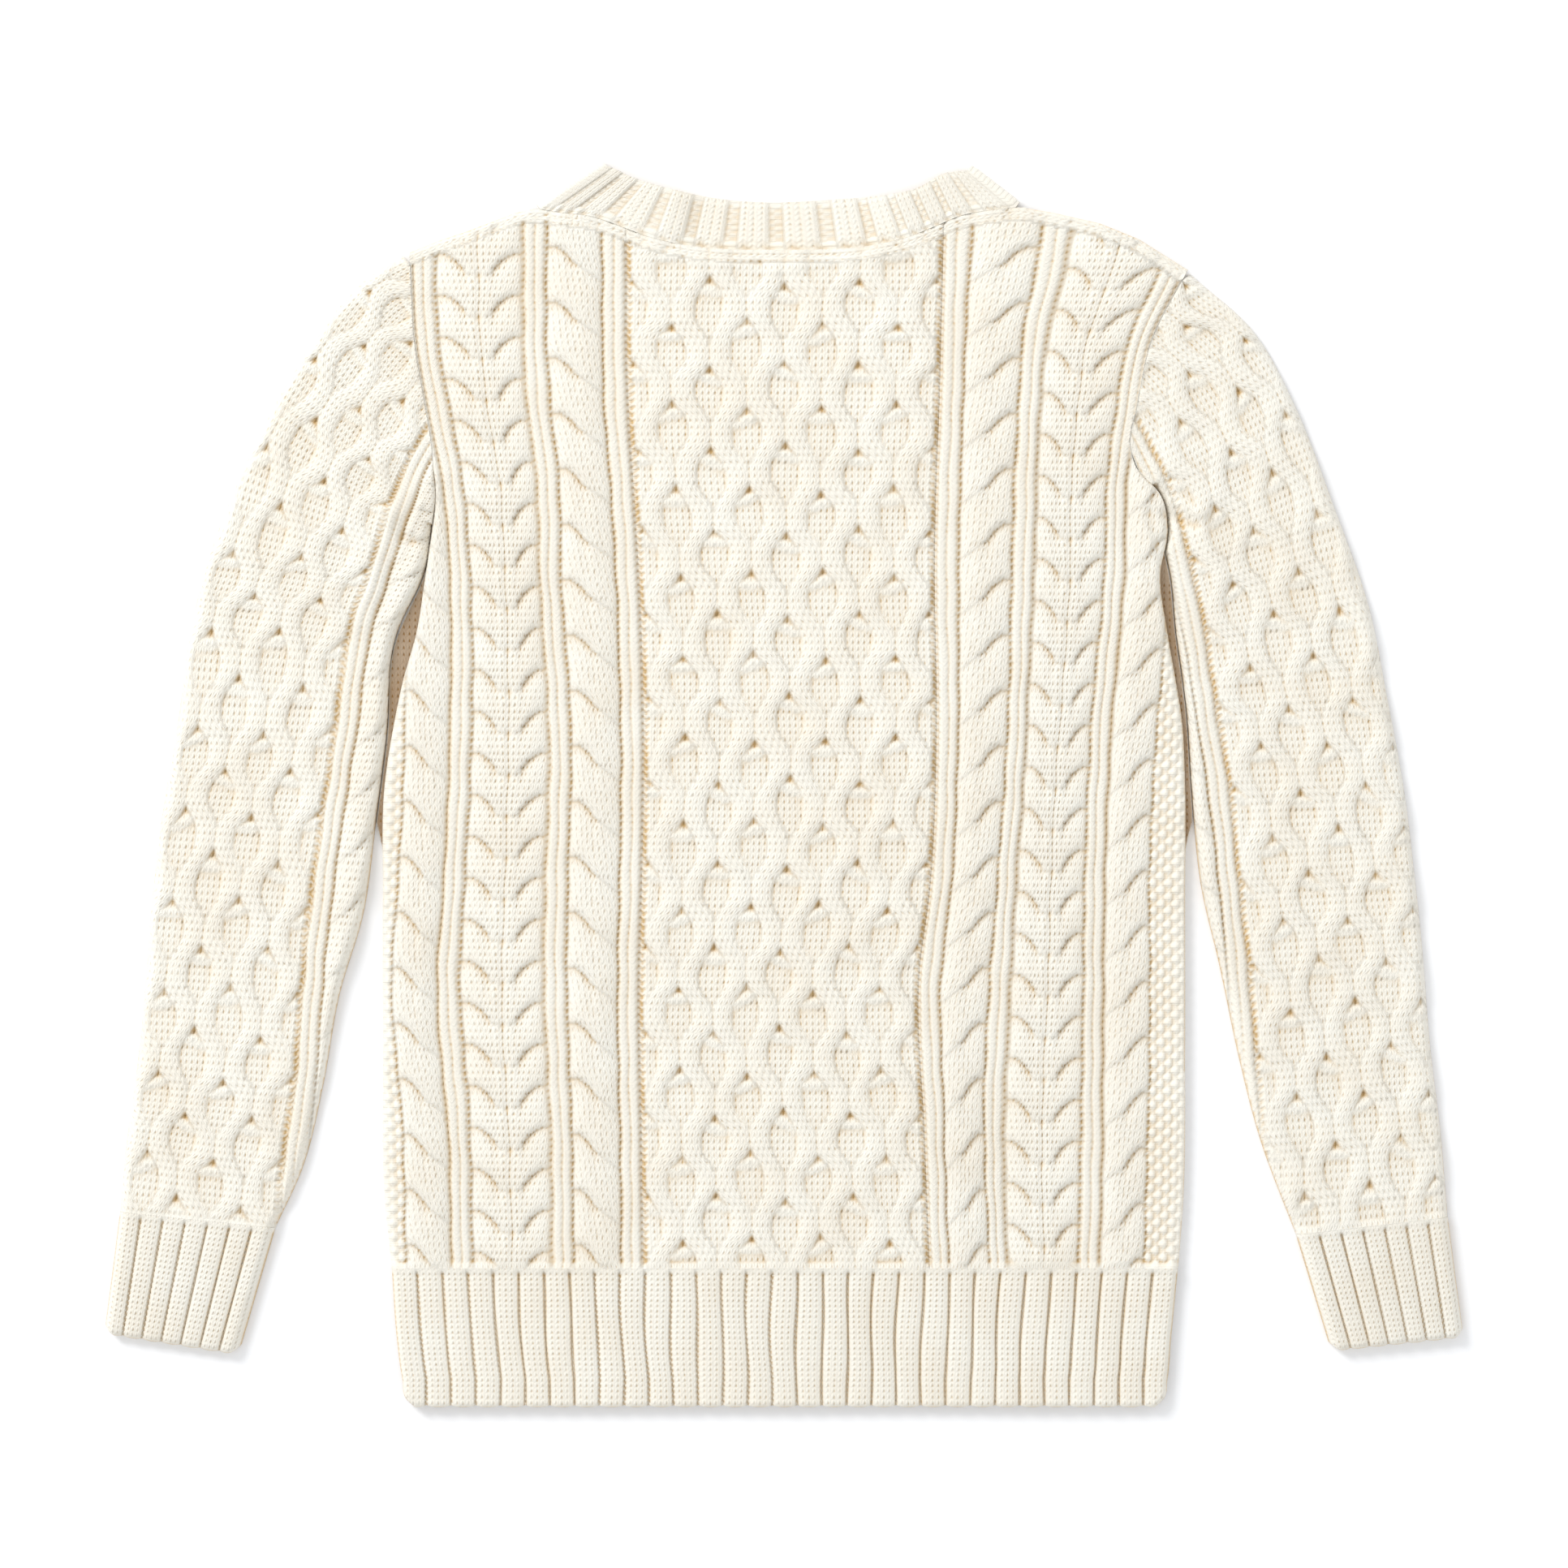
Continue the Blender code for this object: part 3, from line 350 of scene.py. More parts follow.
def fold_height(x, y):
    """Sum of the soft folds, and the slight unevenness of cloth that was smoothed out by hand."""
    total = 0.35 * np.sin(x / 31 + 0.8 * np.sin(y / 47)) * np.sin(y / 39 + 1.3 * np.sin(x / 58))
    for x0, y0, x1, y1, width, height in FOLDS:
        dx, dy = x1 - x0, y1 - y0
        t = np.clip(((x - x0) * dx + (y - y0) * dy) / (dx * dx + dy * dy), 0, 1)
        away = np.hypot(x - x0 - t * dx, y - y0 - t * dy)
        total = total + height * np.exp(-(away / width) ** 2)
    return total


def roll(distance, full, edge=EDGE_WALL):
    """Wall near an outer edge, where the knit rolls over."""
    t = np.clip(distance / EDGE_ROLL, 0.0, 1.0)
    return edge + (full - edge) * np.sqrt(1 - (1 - t) ** 2)


def joined(distance, full):
    """Wall near a line where the knitting runs on into the next piece."""
    return JOIN_LEVEL + (full - JOIN_LEVEL) * ease(distance, 0.0, JOIN_BLEND)


def folded(z, share):
    """Height of a flattened tube's upper half, which bends down to its fold at share 0."""
    return FOLD_FOOT + (z - FOLD_FOOT) * np.sqrt(1 - (1 - np.clip(share, 0, 1)) ** 2)


def blurred(z, across, along):
    """Mean of the heights round each point, over a window of columns and rows."""
    for axis, reach in ((0, across), (1, along)):
        pad = [(0, 0), (0, 0)]
        pad[axis] = (reach + 1, reach)
        total = np.cumsum(np.pad(z, pad, mode="reflect"), axis=axis)
        high = np.take(total, range(2 * reach + 1, total.shape[axis]), axis=axis)
        low = np.take(total, range(0, total.shape[axis] - 2 * reach - 1), axis=axis)
        z = (high - low) / (2 * reach + 1)
    return z


def hollows(z):
    """How sunken each point is, from 0 on a crest to 1 in a gutter or a hole: the mask by which the yarn
    takes painted shade.
    """
    wide = np.clip((blurred(z, 6, 5) - z) / 3.4, 0, 1)
    fine = np.clip((blurred(z, 2, 2) - z) / 1.5, 0, 1)
    return np.clip(0.85 * wide + 0.45 * fine, 0, 1)


def placed(name, bm, material=None):
    """Object made of a finished bmesh, put into the scene."""
    mesh = bpy.data.meshes.new(name)
    bm.to_mesh(mesh)
    bm.free()
    piece = bpy.data.objects.new(name, mesh)
    if material:
        mesh.materials.append(material)
    bpy.context.scene.collection.objects.link(piece)
    return piece


def mark(piece, label, values):
    """Gives each point of a piece one number that its yarn reads."""
    layer = piece.data.attributes.new(label, "FLOAT", "POINT")
    layer.data.foreach_set("value", np.array(values, dtype=np.float32))


def prism(name, outline, low, high, material=None):
    """Upright block over an outline."""
    bm = bmesh.new()
    face = bm.faces.new([bm.verts.new((px * MM, py * MM, low * MM)) for px, py in outline])
    top = bmesh.ops.extrude_face_region(bm, geom=[face])["geom"]
    rise = [item for item in top if isinstance(item, bmesh.types.BMVert)]
    bmesh.ops.translate(bm, vec=(0, 0, (high - low) * MM), verts=rise)
    bmesh.ops.recalc_face_normals(bm, faces=bm.faces)
    return placed(name, bm, material)


def knit_shell(name, x, y, z, floor, stitch, course, join, material):
    """Closed shell whose top runs through a grid of points, over a plain underside at z = floor.

    The join is each point's distance from the line where the next piece carries on.
    """
    # Mask of painted shade in gutters and holes, kept off near joins
    sunken = hollows(z) * ease(join, 0.0, JOIN_BLEND)
    places = np.round(np.stack([x, y], axis=-1).reshape(-1, 2), 2)
    _, first, same = np.unique(places, axis=0, return_index=True, return_inverse=True)
    index = same.reshape(x.shape)
    corners = np.stack([index[:-1, :-1], index[1:, :-1], index[1:, 1:], index[:-1, 1:]], axis=-1)
    corners = corners.reshape(-1, 4)
    px, py, pz = x.ravel()[first], y.ravel()[first], z.ravel()[first]
    turn = ((px[corners[:, 2]] - px[corners[:, 0]]) * (py[corners[:, 3]] - py[corners[:, 1]])
            - (py[corners[:, 2]] - py[corners[:, 0]]) * (px[corners[:, 3]] - px[corners[:, 1]]))
    if turn.sum() < 0:
        corners = corners[:, ::-1]
    bm = bmesh.new()
    verts = [bm.verts.new(point) for point in zip(px.tolist(), py.tolist(), pz.tolist())]
    for a, b, c, d in corners.tolist():
        ring = [a]
        for corner in (b, c, d):
            if corner != ring[-1] and corner != a:
                ring.append(corner)
        if len(ring) > 2 and len(set(ring)) == len(ring):
            bm.faces.new([verts[i] for i in ring]).smooth = True
    border = [edge for edge in bm.edges if edge.is_boundary]
    for item in bmesh.ops.extrude_edge_only(bm, edges=border)["geom"]:
        if isinstance(item, bmesh.types.BMVert):
            item.co.z = floor
        elif isinstance(item, bmesh.types.BMFace):
            item.smooth = False
    foot = [edge for edge in bm.edges if edge.is_boundary]
    for face in bmesh.ops.edgeloop_fill(bm, edges=foot)["faces"]:
        face.smooth = False
    bmesh.ops.recalc_face_normals(bm, faces=bm.faces)
    kept = np.array([bool(vert.link_faces) for vert in verts])
    bmesh.ops.delete(bm, geom=[vert for vert in bm.verts if not vert.link_faces], context="VERTS")
    bmesh.ops.scale(bm, vec=(MM, MM, MM), verts=bm.verts)
    piece = placed(name, bm, material)
    extra = len(piece.data.vertices) - int(kept.sum())
    # Walls and underside take half the painted shade
    for label, grid, rest in (("sunken", sunken, 0.5), ("stitch", stitch, 0.25), ("course", course, 0.0)):
        mark(piece, label, np.concatenate([grid.ravel()[first][kept], np.full(extra, rest)]))
    return piece


def wander(x, y):
    """Small sideways drift of the stitch columns."""
    return 0.65 * np.sin(x / 7 + 2 * np.sin(y / 17)) * np.sin(y / 11 + 1.5 * np.sin(x / 23))


body_left, body_right = lines_of(BODY_SIDES, SIDES_FIELDS)
welt_left, welt_right = lines_of(WELT_SIDES, SIDES_FIELDS)
RIBS_AT = lines_of(RIB_LINES, RIB_LINES_FIELDS)


def body_x(wale, y):
    """Place across the back of stitch columns at heights y."""
    lines = np.stack([rib(y) for rib in RIBS_AT])
    wales = np.array(RIB_WALES, dtype=float)
    k = np.clip(np.searchsorted(wales, wale) - 1, 0, len(wales) - 2)
    low = np.take_along_axis(lines, k[None], 0)[0]
    high = np.take_along_axis(lines, k[None] + 1, 0)[0]
    between = low + (wale - wales[k]) * (high - low) / (wales[k + 1] - wales[k])
    beyond_left = lines[0] + (wale - wales[0]) * WALE
    beyond_right = lines[-1] + (wale - wales[-1]) * WALE
    return np.where(wale < wales[0], beyond_left, np.where(wale > wales[-1], beyond_right, between))


def edge_wales(y):
    """Stitch counts at the back's left and right edge at heights y."""
    left = RIB_WALES[0] + (body_left(y) - RIBS_AT[0](y)) / WALE
    right = RIB_WALES[-1] + (body_right(y) - RIBS_AT[-1](y)) / WALE
    return left, right


def neck_seam(table, samples=60):
    """Points along the seam of one half of the neckband."""
    places = np.linspace(0, len(table) - 1, samples + 1)
    return list(zip(*[line(places) for line in lines_of(table, NECKBAND_FIELDS)[:2]]))


TOP_POINTS = np.array(SHOULDER_LEFT + neck_seam(NECK_BACK) + SHOULDER_RIGHT)


def top_edge(x):
    """Upper edge of the back: left shoulder, neck seam, right shoulder."""
    return np.interp(x, TOP_POINTS[:, 0], TOP_POINTS[:, 1]) - ARMHOLE_GAP


def columns_of(centre, half):
    """Columns a quarter stitch apart, placed on a cable's own stitches."""
    steps = int(half / ACROSS)
    return [centre + ACROSS * n for n in range(-steps, steps + 1)]


def rib_columns(centre):
    """Columns over a 2-wale rib, the outer ones just inside its edges."""
    return [centre + share * RIB_HALF for share in (-0.99, -0.75, -0.5, -0.25, 0, 0.25, 0.5, 0.75, 0.99)]


def side_columns():
    """Stitch columns of one side of the back, from the honeycomb's gutter outward."""
    columns = [SPLIT, SPLIT + 0.3] + columns_of(ROPE2_AT, ROPE2_HALF - 0.05)
    columns += columns_of(HORSESHOE_AT, HORSESHOE_HALF) + columns_of(ROPE1_AT, ROPE1_HALF - 0.05)
    columns += [28.85, 37.6, 41.4, 56.0, 59.8] + list(np.arange(MOSS_FROM, MOSS_TO, BEAD / 4))
    for at in RIBS:
        columns += rib_columns(at)
    return np.array(sorted(columns))


def back_part(name, columns, material):
    """Stretch of the back between two stitch columns, or out to the side seam."""
    bottom = HEM_TOP + JOIN_GAP
    first = math.ceil((bottom - EYE_LINE) / ROW * ALONG) + 1
    heights = [EYE_LINE + ROW * n / ALONG for n in range(first, ROWS_ABOVE * ALONG)]
    heights = np.array([bottom, bottom + FIRST_ROW] + heights)
    top = np.full(len(columns), bottom)
    for _ in range(APPROACHES):
        left, right = edge_wales(top)
        top = 0.5 * top + 0.5 * top_edge(body_x(np.clip(columns, left, right), top))
    y = np.broadcast_to(heights, (len(columns), len(heights)))
    near_top = y > top[:, None] - 0.5 * ROW / ALONG
    y = np.where(near_top, top[:, None], y)
    left, right = edge_wales(y)
    wale = np.broadcast_to(columns[:, None], y.shape)
    wale = np.where(wale < left + 0.1, left, np.where(wale > right - 0.1, right, wale))
    x = body_x(wale, y)
    row = (y - EYE_LINE) / ROW
    depth = top[:, None] - y
    relief = body_relief(wale, row)
    band = seam_band(depth, x)
    height, stitch = overlay(relief, depth < BAND_WIDTH, (np.maximum(band[0], 0.85 * relief[0]), band[1]))
    sides = np.minimum((wale - left) * WALE, (right - wale) * WALE)
    wall = joined(y - bottom, GROUND + height + fold_height(x, y))
    shoulder = ease(np.abs(x - NECK_MIDDLE), NECK_REACH, SHOULDER_REACH)
    wall = roll(sides, wall, EDGE_WALL + (SEWN_LEVEL - EDGE_WALL) * ease(y, SEWN_FROM, SEWN_TO))
    wall = roll(depth * 1.4 + 9 * (1 - shoulder), wall, np.minimum(wall, SHOULDER_WALL))
    clear = ease(np.minimum(sides, depth), 0.0, CALM_SIDE) * ease(np.abs(np.abs(wale) - SPLIT), 0.0, 2.0)
    x = x + wander(x, y) * clear * ease(y - bottom, 0.0, CALM)
    course = np.where(depth < BAND_WIDTH, x / BAND_PITCH, row)
    return knit_shell(name, x, y, INSIDE + wall, INSIDE, stitch, course, y - bottom, material)


def ribbed(across, along, ribs):
    """Height of a 4 and 1 rib, the place across each stitch, and the row."""
    rib = np.floor(np.clip(across * ribs, 0, ribs - 1e-6))
    share = across * ribs - rib
    crest = np.clip((share - RIB_EDGE) / (1 - 2 * RIB_EDGE), 0, 1)
    row = along / RIB_ROW
    body = dome(crest - 0.5, 0.5) ** 0.55
    inside = (share > RIB_EDGE) & (share < 1 - RIB_EDGE)
    rung = 1.3 * (0.5 + 0.5 * np.cos(2 * np.pi * (row + 0.37 * rib))) ** 2 - 0.3
    height = np.where(inside, WELT_RELIEF * body + 0.65 * knit(crest * 4, row) * body, rung)
    return height, np.where(inside, crest * 4, 0.25), row


def pinched(across, along, ribs):
    """Place of each rib stitch, once the gutters between ribs are drawn in here and there."""
    place = across * ribs
    gutter = np.round(place)
    off = place - gutter
    close = 0.5 + 0.5 * np.sin(along / 8 + 4.7 * gutter)
    return (gutter + off * (1 - 0.65 * close * np.exp(-(off / 0.06) ** 2))) / ribs


def ribbed_columns(ribs):
    """Columns over all ribs, as shares of the width: sixteen steps on each crest."""
    shares = [0.0, 0.02] + [RIB_EDGE + (1 - 2 * RIB_EDGE) * n / 16 for n in range(17)] + [0.98]
    return np.array([(n + share) / ribs for n in range(ribs) for share in shares] + [1.0])


def ribbed_rows(length):
    """Rows of a ribbed end, as shares of its length."""
    rows = np.linspace(0.0, 1.0, int(length / RIB_ROW * ALONG) + 1)
    return np.sort(np.append(rows, [FIRST_ROW / length, 1 - FIRST_ROW / length]))


def back_welt(material):
    """Ribbed welt of the back."""
    bottom, top = HEM_FOOT, HEM_TOP - JOIN_GAP
    across, share = np.meshgrid(ribbed_columns(WELT_RIBS), ribbed_rows(top - bottom), indexing="ij")
    height, stitch, row = ribbed(across, share * (top - bottom), WELT_RIBS)
    scallop = WELT_SCALLOP * np.abs(np.sin(np.pi * across * WELT_RIBS)) ** 0.7 * (1 - ease(share, 0, 0.12))
    y = bottom + WELT_SCALLOP + share * (top - bottom - WELT_SCALLOP) - scallop
    straight = np.maximum(y, WELT_CORNER)
    left, right = welt_left(straight), welt_right(straight)
    sway = 1.1 * np.sin(y / 21 + across * 40) * np.sin(np.pi * across) * np.sin(np.pi * share)
    x = np.clip(left + (right - left) * pinched(across, y, WELT_RIBS) + sway, welt_left(y), welt_right(y))
    sides = np.minimum(x - welt_left(y), welt_right(y) - x)
    wall = joined(top - y, WELT_GROUND + height + fold_height(x, y))
    wall = roll(np.minimum(sides, (y - bottom) * 1.3 + 0.4), wall)
    return knit_shell("back_welt_knit", x, y, INSIDE + wall, INSIDE, stitch, row, top - y, material)


def part_layers(piece, outline, low):
    """Parts the two layers of a flattened tube inside an outline, from z = low up to the upper layer."""
    cutter = prism("slot", outline, low, INSIDE)
    cut = piece.modifiers.new("slot", "BOOLEAN")
    cut.operation = "DIFFERENCE"
    cut.solver = "MANIFOLD"
    cut.object = cutter
    graph = bpy.context.evaluated_depsgraph_get()
    evaluated = piece.evaluated_get(graph)
    parted = bpy.data.meshes.new_from_object(evaluated, preserve_all_data_layers=True, depsgraph=graph)
    if len(parted.polygons) <= len(piece.data.polygons):
        raise RuntimeError(piece.name + ": the slot cut nothing")
    piece.modifiers.clear()
    piece.data = parted
    bpy.data.objects.remove(cutter)


def sleeve_knit(name, table, side, material):
    """Sleeve laid flat, with its honeycomb, rib and rope."""
    low, high = table[-1][0], table[0][0]
    courses = [low + JOIN_GAP / ROW, low + FIRST_ROW / ROW]
    courses += [n / ALONG for n in range(math.ceil((low + 0.2) * ALONG), int((high - 0.2) * ALONG))]
    courses = np.array(courses + [high])
    places = [line(courses) for line in lines_of(table, SLEEVE_FIELDS)]
    outer, inner, first = np.stack(places[:2], axis=-1), np.stack(places[2:4], axis=-1), places[4]
    length = np.linalg.norm(inner - outer, axis=-1)
    across = (inner - outer) / length[:, None]

    def beside_body(distance):
        point = outer + across * distance[:, None]
        edge = body_left(point[:, 1]) if side < 0 else body_right(point[:, 1])
        return side * (point[:, 0] - edge) > ARMHOLE_GAP

    near, far = np.zeros(len(courses)), length.copy()
    whole = beside_body(length)
    for _ in range(HALVINGS):
        middle = (near + far) / 2
        good = beside_body(middle)
        near, far = np.where(good, middle, near), np.where(good, far, middle)
    length = np.where(whole, length, near)
    last = first + length / SLEEVE_WALE
    columns = list(np.arange(SLEEVE_FROM, HONEYCOMB_HALF + 0.01, ACROSS)) + [24.6, 25.1]
    columns += rib_columns(SLEEVE_RIB_AT) + [28.75] + columns_of(SLEEVE_ROPE_AT, ROPE1_HALF - 0.05)
    columns += list(np.arange(SLEEVE_ROPE_AT + SLEEVE_MOSS_FROM, SLEEVE_TO, BEAD / 4))
    wale = np.broadcast_to(np.array(columns)[:, None], (len(columns), len(courses)))
    wale = np.where(wale < first + 0.1, first, np.where(wale > last - 0.1, last, wale))
    reach = (wale - first) * SLEEVE_WALE
    x = outer[:, 0] + across[:, 0] * reach
    y = outer[:, 1] + across[:, 1] * reach
    row = np.broadcast_to(courses, x.shape)
    height, stitch = sleeve_relief(wale, row)
    wall = joined((row - low) * ROW, GROUND + height + fold_height(x, y))
    inward = (last - wale) * SLEEVE_WALE
    sewn = row > SEWN_COURSE
    z = INSIDE + np.where(sewn, roll(np.minimum(inward, (high - row) * ROW), wall, SEWN_LEVEL), wall)
    z = folded(z, np.where(sewn, reach, np.minimum(reach, inward)) / SLEEVE_FOLD)
    clear = ease(np.minimum(reach, inward), 0.0, CALM_SIDE) * ease((row - low) * ROW, 0.0, CALM)
    x = x + wander(x, y) * clear
    piece = knit_shell(name, x, y, z, 0.0, stitch, row, (row - low) * ROW, material)
    fold_side, seam_side = [], []
    for n in np.linspace(0, np.searchsorted(courses, high - 3), 24).astype(int):
        past = Vector((0, -2 if n == 0 else 0))
        start, way = Vector(outer[n]), Vector(across[n])
        reach = length[n] + LOWER_WALL if courses[n] > UNDERARM_COURSE else length[n] - LOWER_WALL
        fold_side.append(start + way * LOWER_WALL + past)
        seam_side.append(start + way * max(reach, LOWER_WALL + 1) + past)
    part_layers(piece, fold_side + seam_side[::-1], LOWER_WALL - 0.3)
    return piece


def cuff_knit(name, corners, material):
    """Ribbed cuff laid flat, open at its mouth."""
    top, mouth = corners
    length = math.hypot(mouth[0] - top[0], mouth[1] - top[1])
    across, share = np.meshgrid(ribbed_columns(CUFF_RIBS), ribbed_rows(length), indexing="ij")
    corner = (1 - np.clip(np.minimum(across, 1 - across) * 11, 0, 1)) ** 2 * CUFF_CORNER / length
    bowed = np.abs(np.sin(np.pi * across * CUFF_RIBS)) ** 0.7
    scallop = CUFF_SCALLOP / length * (1 - bowed) * ease(share, 0.85, 1)
    down = JOIN_GAP / length + share * (1 - JOIN_GAP / length) * (1 - corner) - scallop
    outer_x, outer_y, inner_x, inner_y = [one + (two - one) * down for one, two in zip(top, mouth)]
    place = pinched(across, share * length, CUFF_RIBS)
    x = outer_x + (inner_x - outer_x) * place
    y = outer_y + (inner_y - outer_y) * place
    height, stitch, row = ribbed(across, (1 - share) * length, CUFF_RIBS)
    wall = joined(share * length, WELT_GROUND + height)
    width = np.hypot(inner_x - outer_x, inner_y - outer_y)
    z = INSIDE + roll((1 - share) * length + 0.3, wall)
    z = folded(z, np.minimum(across, 1 - across) * width / CUFF_FOLD)
    piece = knit_shell(name, x, y, z, 0.0, stitch, row, share * length, material)
    outline = []
    for share, order in ((-0.05, 1), (1.05, -1)):
        outer = Vector(top[:2]).lerp(Vector(mouth[:2]), share)
        inner = Vector(top[2:]).lerp(Vector(mouth[2:]), share)
        along = (inner - outer).normalized() * LOWER_WALL
        outline += [outer + along, inner - along][::order]
    part_layers(piece, outline, LOWER_WALL - 1.0)
    return piece


def plain_layer(name, outline, high, material):
    """Plain knitted layer that rests on the floor, with a rounded edge."""
    piece = prism(name, outline, 0.0, high, material)
    rounding = piece.modifiers.new("rounded edge", "BEVEL")
    rounding.width = 1.2 * MM
    rounding.segments = 3
    rounding.limit_method = "ANGLE"
    rounding.angle_limit = math.radians(60)
    return piece


def front_outline():
    """Outline of the front, which lies underneath with its deeper neckline."""
    heights = np.arange(HEM_TOP + SEAM_GAP / 2, 282, 7.0)
    # The front's sides reach out under the gaps beside the sleeves, where its upward face takes the painted
    # gap shade
    slack = 11.0 * ease(heights, -45.0, 10.0) * (1 - ease(heights, 118.0, 130.0)) - 0.4
    sides = []
    for table, side, out in ((RIGHT_SLEEVE, body_right(heights), 1), (LEFT_SLEEVE, body_left(heights), -1)):
        sleeve = out * smooth(table, SLEEVE_FIELDS, "inner_y", "inner_x")(heights) - 0.5
        edge = out * np.maximum(out * side - 0.4, np.minimum(out * side + slack, sleeve))
        sides.append(list(zip(edge.tolist(), heights.tolist())))
    right, left = sides
    shoulders = []
    for line, shift in ((SHOULDER_RIGHT[1:-1], -FRONT_INSET), (SHOULDER_LEFT[:-1], FRONT_INSET)):
        shoulders.append([(px + shift, float(top_edge(px)) - FRONT_INSET) for px, _ in line[::-1]])
    neckline = []
    seam = neck_seam(NECK_FRONT, 28)
    for before, point, after in zip(seam, seam[1:], seam[2:]):
        along = Vector((after[0] - before[0], after[1] - before[1])).normalized()
        neckline.append((point[0] - NECKLINE_INSET * along.y, point[1] + NECKLINE_INSET * along.x))
    return right + shoulders[0] + neckline + shoulders[1] + left[::-1]


def welt_outline():
    """Outline of the front's welt."""
    heights = np.linspace(HEM_FOOT + 1.0, HEM_TOP - SEAM_GAP / 2, 14)
    right = [(float(welt_right(y)) - FRONT_INSET, y) for y in heights]
    return right + [(float(welt_left(y)) + FRONT_INSET, y) for y in heights[::-1]]


def neckband_knit(material):
    """Ribbed band as a flattened ring: back half above, front half below, folded at two ears."""
    shares = np.concatenate([[0.0], np.linspace(0.015, 0.97, 26), [0.99, 1.0]])
    up = Vector((0, 0, 1))
    rings, marks = [], []

    def ring(seam, edge, away, wall, level, rib_share=0.5, fine=0.0):
        """One section through the band; fine is the share of the stitches that shows."""
        on_rib = 1 - ease(abs(rib_share - 0.5), 0.27, 0.36)
        u = (rib_share - 0.5) / 0.2
        wale = float(dome(np.mod(u, 1.0) - 0.5, 0.55)) * 0.9 - 0.2
        points, data = [], []
        for t in shares:
            row = t * (edge - seam).length / NECK_ROW
            rounding = 1.0 if t < 0.88 else (1 - ((t - 0.88) / 0.12) ** 2 * 0.75) ** 0.5
            if t < 0.1:
                rounding = (1 - (1 - t / 0.1) ** 2) ** 0.5
            depth = wall * max(rounding, 0.9)
            if fine > 0:
                beads = float(moss(u * 1.4, row * 1.5)[0]) * 0.35 - 1.3
                relief = wale * on_rib + beads * (1 - on_rib) * (1 if t < 0.9 else 0.4)
                loops = math.sin(2 * math.pi * (rib_share * 2 + 1.6 * t)) if t < 0.17 else 0.0
                depth += fine * (relief * ease(t, 0.12, 0.2) + 0.6 * loops * (1 - float(ease(t, 0.1, 0.17))))
            points.append(Vector((*seam.lerp(edge, t), level)) + away * depth)
            data.append((u if fine > 0 and on_rib > 0.5 else 0.25, row))
        for t in (0.98, 0.6, 0.02):
            points.append(Vector((*seam.lerp(edge, t), level)))
            data.append((0.25, 0.0))
        rings.append(points)
        marks.extend(data)

    def sections(table, count):
        """Seam and edge points at even places along one half of the ring."""
        places = np.linspace(0.0, 1.0, count) * (len(table) - 1)
        lines = [line(places) for line in lines_of(table, NECKBAND_FIELDS)]
        return [(Vector(point[:2]), Vector(point[2:])) for point in zip(*lines)]

    def fold_round(section, ear, turns):
        """Sections round one ear, from one layer to the other."""
        for degrees in turns:
            turn = math.radians(degrees)
            away = Vector((*ear, 0)) * math.sin(turn) + up * math.cos(turn)
            wall = NECK_WALL + (LOWER_WALL - NECK_WALL) * degrees / 180
            level = LOWER_WALL + 0.15 + 0.15 * math.cos(turn)
            ring(Vector(section[1:3]), Vector(section[3:5]), away, wall, level)

    for n, (seam, edge) in enumerate(sections(NECK_BACK, NECK_RIBS * NECK_STEPS + 1)):
        level = INSIDE * float(ease(abs(seam.x), NECK_DROP_TO, NECK_DROP_FROM))
        ribs = n / NECK_STEPS
        ring(seam, edge, up, NECK_WALL, level, ribs % 1, min(0.1 + min(ribs, NECK_RIBS - ribs) / 1.6, 1.0))
    fold_round(NECK_FRONT[0], EAR_RIGHT, range(EAR_STEP, 180, EAR_STEP))
    for seam, edge in sections(NECK_FRONT, 57):
        ring(seam, edge, -up, LOWER_WALL, LOWER_WALL)
    fold_round(NECK_FRONT[-1], EAR_LEFT, range(180 - EAR_STEP, 0, -EAR_STEP))
    bm = bmesh.new()
    loops = [[bm.verts.new(point * MM) for point in points] for points in rings]
    for one, two in zip(loops, loops[1:] + loops[:1]):
        for k in range(len(one)):
            n = (k + 1) % len(one)
            bm.faces.new((one[k], two[k], two[n], one[n])).smooth = True
    bmesh.ops.recalc_face_normals(bm, faces=bm.faces)
    piece = placed("neckband_knit", bm, material)
    # Painted shade in the band's hollows
    mark(piece, "sunken", hollows(np.array([[point.z for point in points] for points in rings])).ravel())
    mark(piece, "stitch", [stitch for stitch, _ in marks])
    mark(piece, "course", [row for _, row in marks])
    return piece


MATH, RANGE = "ShaderNodeMath", "ShaderNodeMapRange"
TURN = 2 * math.pi
PLIES = 3  # strands that the yarn is twisted from
# Noise cells in a metre: tufts 1.1 mm wide, since single fibres are too fine to show, stitches pulled
# tight and loose over 4.8 mm, and shades over 33 mm
TUFTS, TENSION, SHADES = 900.0, 210.0, 30.0


def linear(code):
    """Linear colour of an sRGB hex value."""
    parts = [int(code.lstrip("#")[i:i + 2], 16) / 255 for i in (0, 2, 4)]
    return tuple(c / 12.92 if c <= 0.04045 else ((c + 0.055) / 1.055) ** 2.4 for c in parts)


def node(tree, kind, settings, links, out=0):
    """Adds a node, sets its values, links its sockets from others and gives one of its outputs."""
    made = tree.nodes.new(kind)
    for key, value in settings.items():
        if isinstance(key, int):
            made.inputs[key].default_value = value
        else:
            setattr(made, key, value)
    for key, source in links.items():
        tree.links.new(source, made.inputs[key])
    return made.outputs[out]


